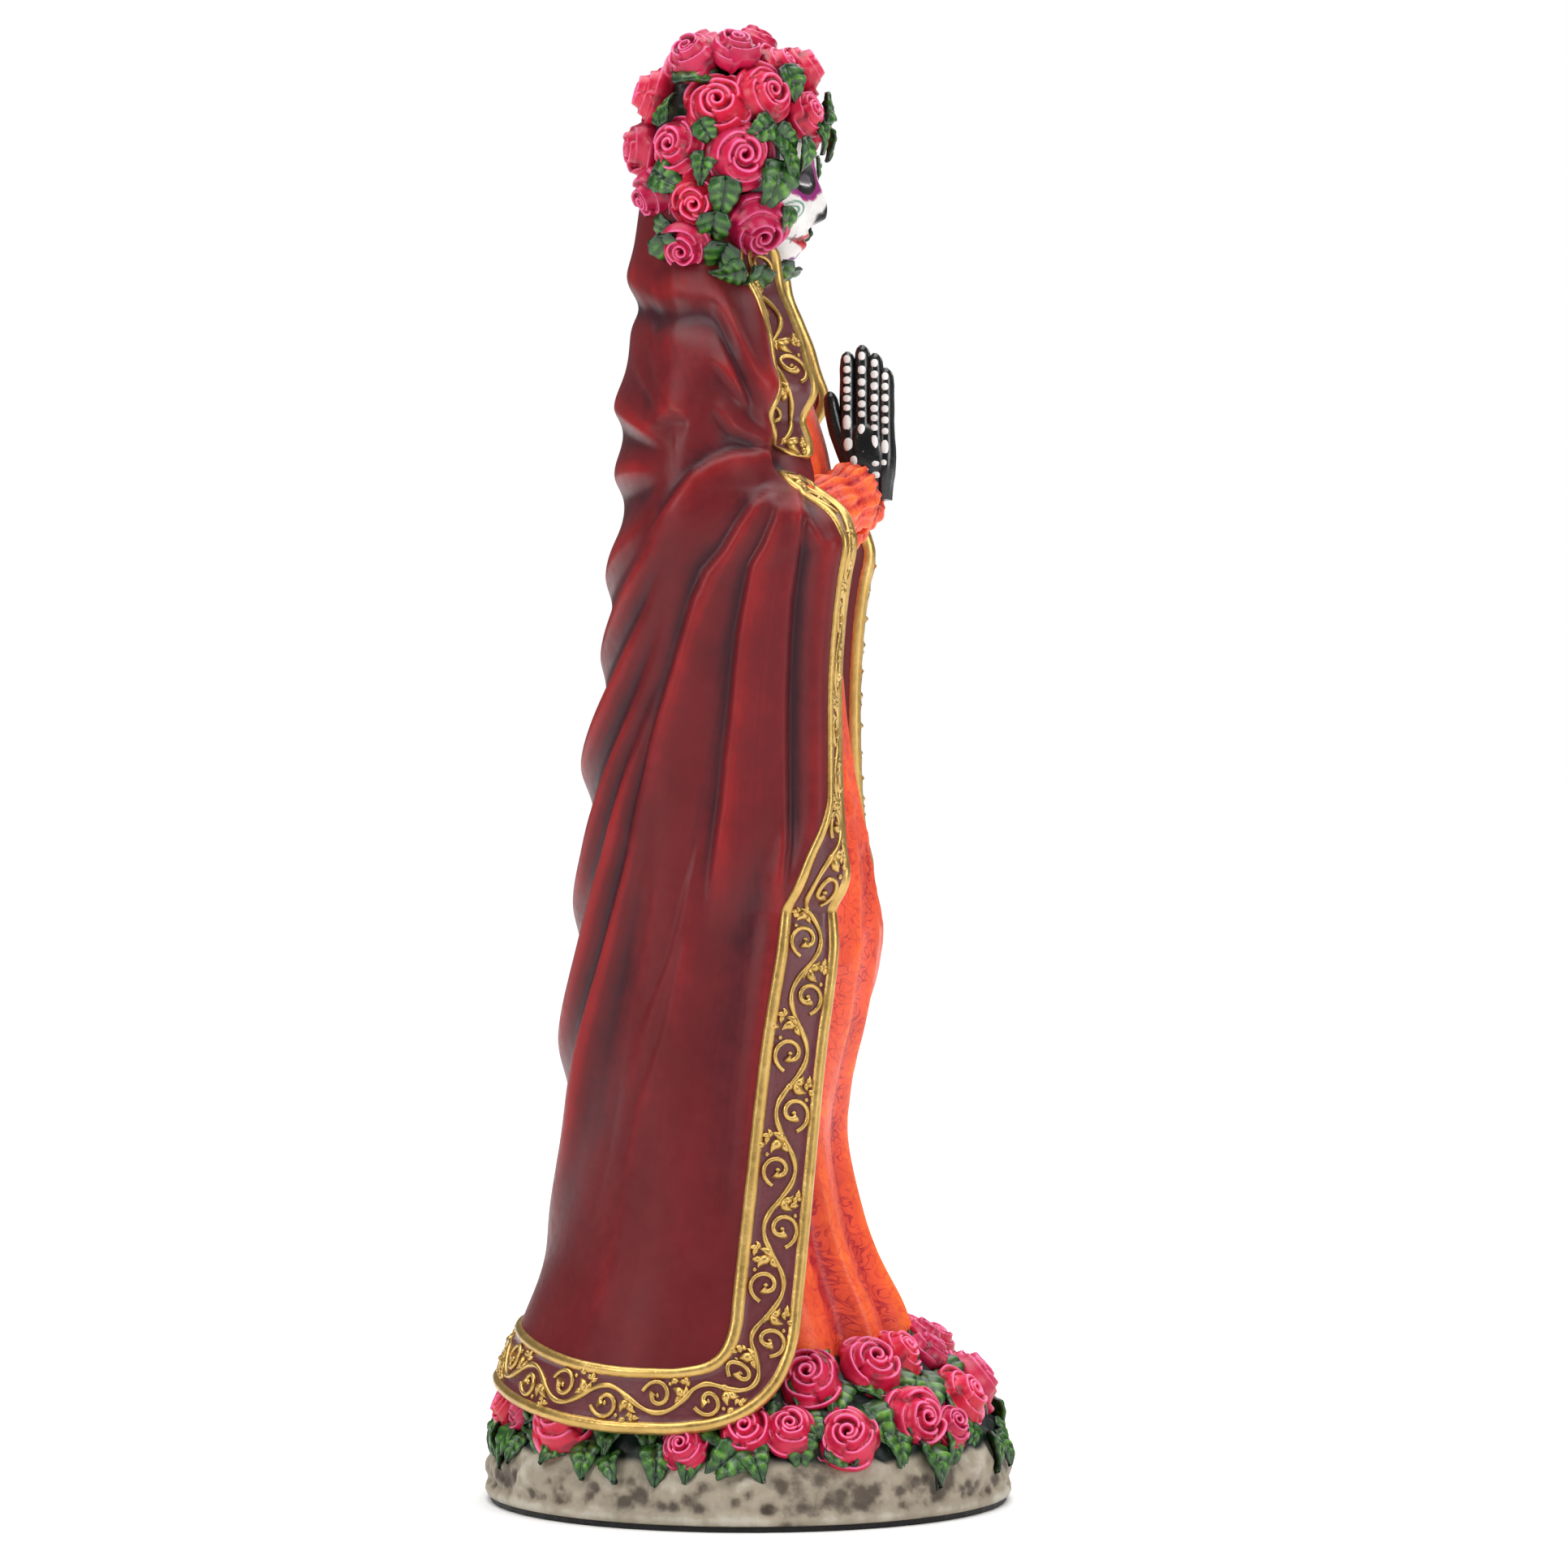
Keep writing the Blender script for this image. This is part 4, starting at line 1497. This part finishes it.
class FIGURINE_OT_base(bpy.types.Operator):
    """Builds the rock and the roses and leaves that cover it"""
    bl_idname = "figurine.base"
    bl_label = "Rock and roses"

    def execute(self, context):
        sizes, tones = context.scene.figurine_sizes, context.scene.figurine_colours
        rock = surface("rock", 360, 92, rock_shape(sizes.pit_depth / MM), ("relief", "bed"))
        hand_over(close_up(rock), rock_material(tones))
        rows = []
        for mirror in (1, -1):
            for f, s, r in BASE_ROSES:
                height = bed_height(edge_share(f, s)) + 0.35 * r
                rows.append((place(f, mirror * s, height), bed_normal(f, mirror * s), r))
        for f, r in BASE_MIDDLE_ROSES:
            rows.append((place(f, 0, bed_height(edge_share(f, 0)) + 0.35 * r), bed_normal(f, 0), r))
        hand_over(plant_roses(rows, "base_roses", 51), rose_material(tones))
        draw = np.random.default_rng(52)
        leaves = []
        for ring, (share, count) in enumerate(((0.955, 44), (0.89, 44), (0.8, 36), (0.68, 26))):
            for k in range(count):
                angle = (k + 0.5 * (ring % 2) + draw.uniform(-0.25, 0.25)) * 2 * math.pi / count
                at = share + draw.uniform(-0.025, 0.02)
                f, s = math.cos(angle) * BASE_FORWARD * at, math.sin(angle) * BASE_SIDE * at
                swing = angle + draw.normal(0, 0.5)
                tip = place(math.cos(swing), math.sin(swing), -0.7 if ring == 0 else -0.2)
                leaves.append((place(f, s, bed_height(at) + 0.3), bed_normal(f, s), tip,
                               sizes.rim_leaf / MM * draw.uniform(0.75, 1.1)))
        hand_over(plant_leaves(leaves, "base_leaves", 53), leaf_material(tones))
        return {"FINISHED"}


class FIGURINE_OT_felt(bpy.types.Operator):
    """Gives the felt pad under the base its material"""
    bl_idname = "figurine.felt"
    bl_label = "Felt pad"

    def execute(self, context):
        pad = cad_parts["felt_pad"]
        material = felt_material(context.scene.figurine_colours)
        for index in range(len(pad.material_slots)):
            pad.material_slots[index].material = material
        return {"FINISHED"}


class FIGURINE_OT_stage(bpy.types.Operator):
    """Sets up the pale floor, the soft lights and the camera"""
    bl_idname = "figurine.stage"
    bl_label = "Studio"

    def execute(self, context):
        scene, stage = context.scene, context.scene.figurine_stage
        bpy.ops.object.select_all(action="DESELECT")
        bpy.ops.mesh.primitive_plane_add(size=60)
        floor = bpy.context.active_object
        floor.name = "floor"
        material = bpy.data.materials.new("Floor")
        material.use_nodes = True
        shader = material.node_tree.nodes["Principled BSDF"]
        shader.inputs["Base Color"].default_value = rgba(stage.floor)
        shader.inputs["Roughness"].default_value = 0.9
        shader.inputs["Specular IOR Level"].default_value = 0.1
        floor.data.materials.append(material)
        world = bpy.data.worlds.new("Studio")
        world.use_nodes = True
        tree = world.node_tree
        sky = tree.nodes["Background"]
        sky.inputs["Color"].default_value = (1, 1, 1, 1)
        seen = node(tree, "LightPath").outputs["Is Camera Ray"]
        tree.links.new(ranged(tree, seen, 0, 1, stage.sky, 1.0, "LINEAR"), sky.inputs["Strength"])
        scene.world = world
        target = Vector((0, -stage.aim, stage.height))
        lights = (
            ("key", (-0.75, 0.75, 0.6), 0.5, 1.0), ("front", (-0.6, -0.95, 0.5), 0.5, 0.9),
            ("far", (0.9, -0.3, 0.8), 0.8, 0.7),
        )
        for name, where, size, share in lights:
            lamp = bpy.data.lights.new(name, "AREA")
            lamp.shape = "SQUARE"
            lamp.size = size
            lamp.energy = stage.key * share
            holder = bpy.data.objects.new(name, lamp)
            holder.location = where
            holder.rotation_euler = (target - Vector(where)).to_track_quat("-Z", "Y").to_euler()
            scene.collection.objects.link(holder)
        sun = bpy.data.lights.new("ceiling", "SUN")
        sun.energy = stage.ceiling
        sun.angle = math.radians(70)
        scene.collection.objects.link(bpy.data.objects.new("ceiling", sun))
        way = Vector((math.sin(stage.azimuth), -math.cos(stage.azimuth), 0))
        camera = bpy.data.objects.new("camera", bpy.data.cameras.new("camera"))
        camera.data.lens = stage.lens
        camera.data.clip_start = 0.05
        camera.location = target + way * stage.distance
        camera.rotation_euler = (-way).to_track_quat("-Z", "Y").to_euler()
        scene.collection.objects.link(camera)
        scene.camera = camera
        scene.view_settings.view_transform = "Standard"
        return {"FINISHED"}


OPERATORS = (
    FIGURINE_OT_stage, FIGURINE_OT_mantle, FIGURINE_OT_border, FIGURINE_OT_dress, FIGURINE_OT_head,
    FIGURINE_OT_hands, FIGURINE_OT_crown, FIGURINE_OT_base, FIGURINE_OT_felt,
)
SETTINGS = (
    ("figurine_sizes", FigurineSizes), ("figurine_colours", FigurineColours),
    ("figurine_stage", FigurineStage),
)


class FIGURINE_PT_panel(bpy.types.Panel):
    """Lists the pieces and their settings"""
    bl_idname = "FIGURINE_PT_panel"
    bl_label = "Figurine"
    bl_space_type = "VIEW_3D"
    bl_region_type = "UI"
    bl_category = "Figurine"

    def draw(self, context):
        for operator in OPERATORS:
            self.layout.operator(operator.bl_idname)
        for name, group in SETTINGS:
            box = self.layout.box()
            for label in group.__annotations__:
                box.prop(getattr(context.scene, name), label)


def register():
    for name, group in SETTINGS:
        bpy.utils.register_class(group)
        setattr(bpy.types.Scene, name, bpy.props.PointerProperty(type=group))
    for kind in (*OPERATORS, FIGURINE_PT_panel):
        bpy.utils.register_class(kind)


def unregister():
    for kind in (FIGURINE_PT_panel, *reversed(OPERATORS)):
        bpy.utils.unregister_class(kind)
    for name, group in reversed(SETTINGS):
        delattr(bpy.types.Scene, name)
        bpy.utils.unregister_class(group)


def main():
    register()
    for operator in OPERATORS:
        family, name = operator.bl_idname.split(".")
        getattr(getattr(bpy.ops, family), name)()


if __name__ == "__main__":
    main()
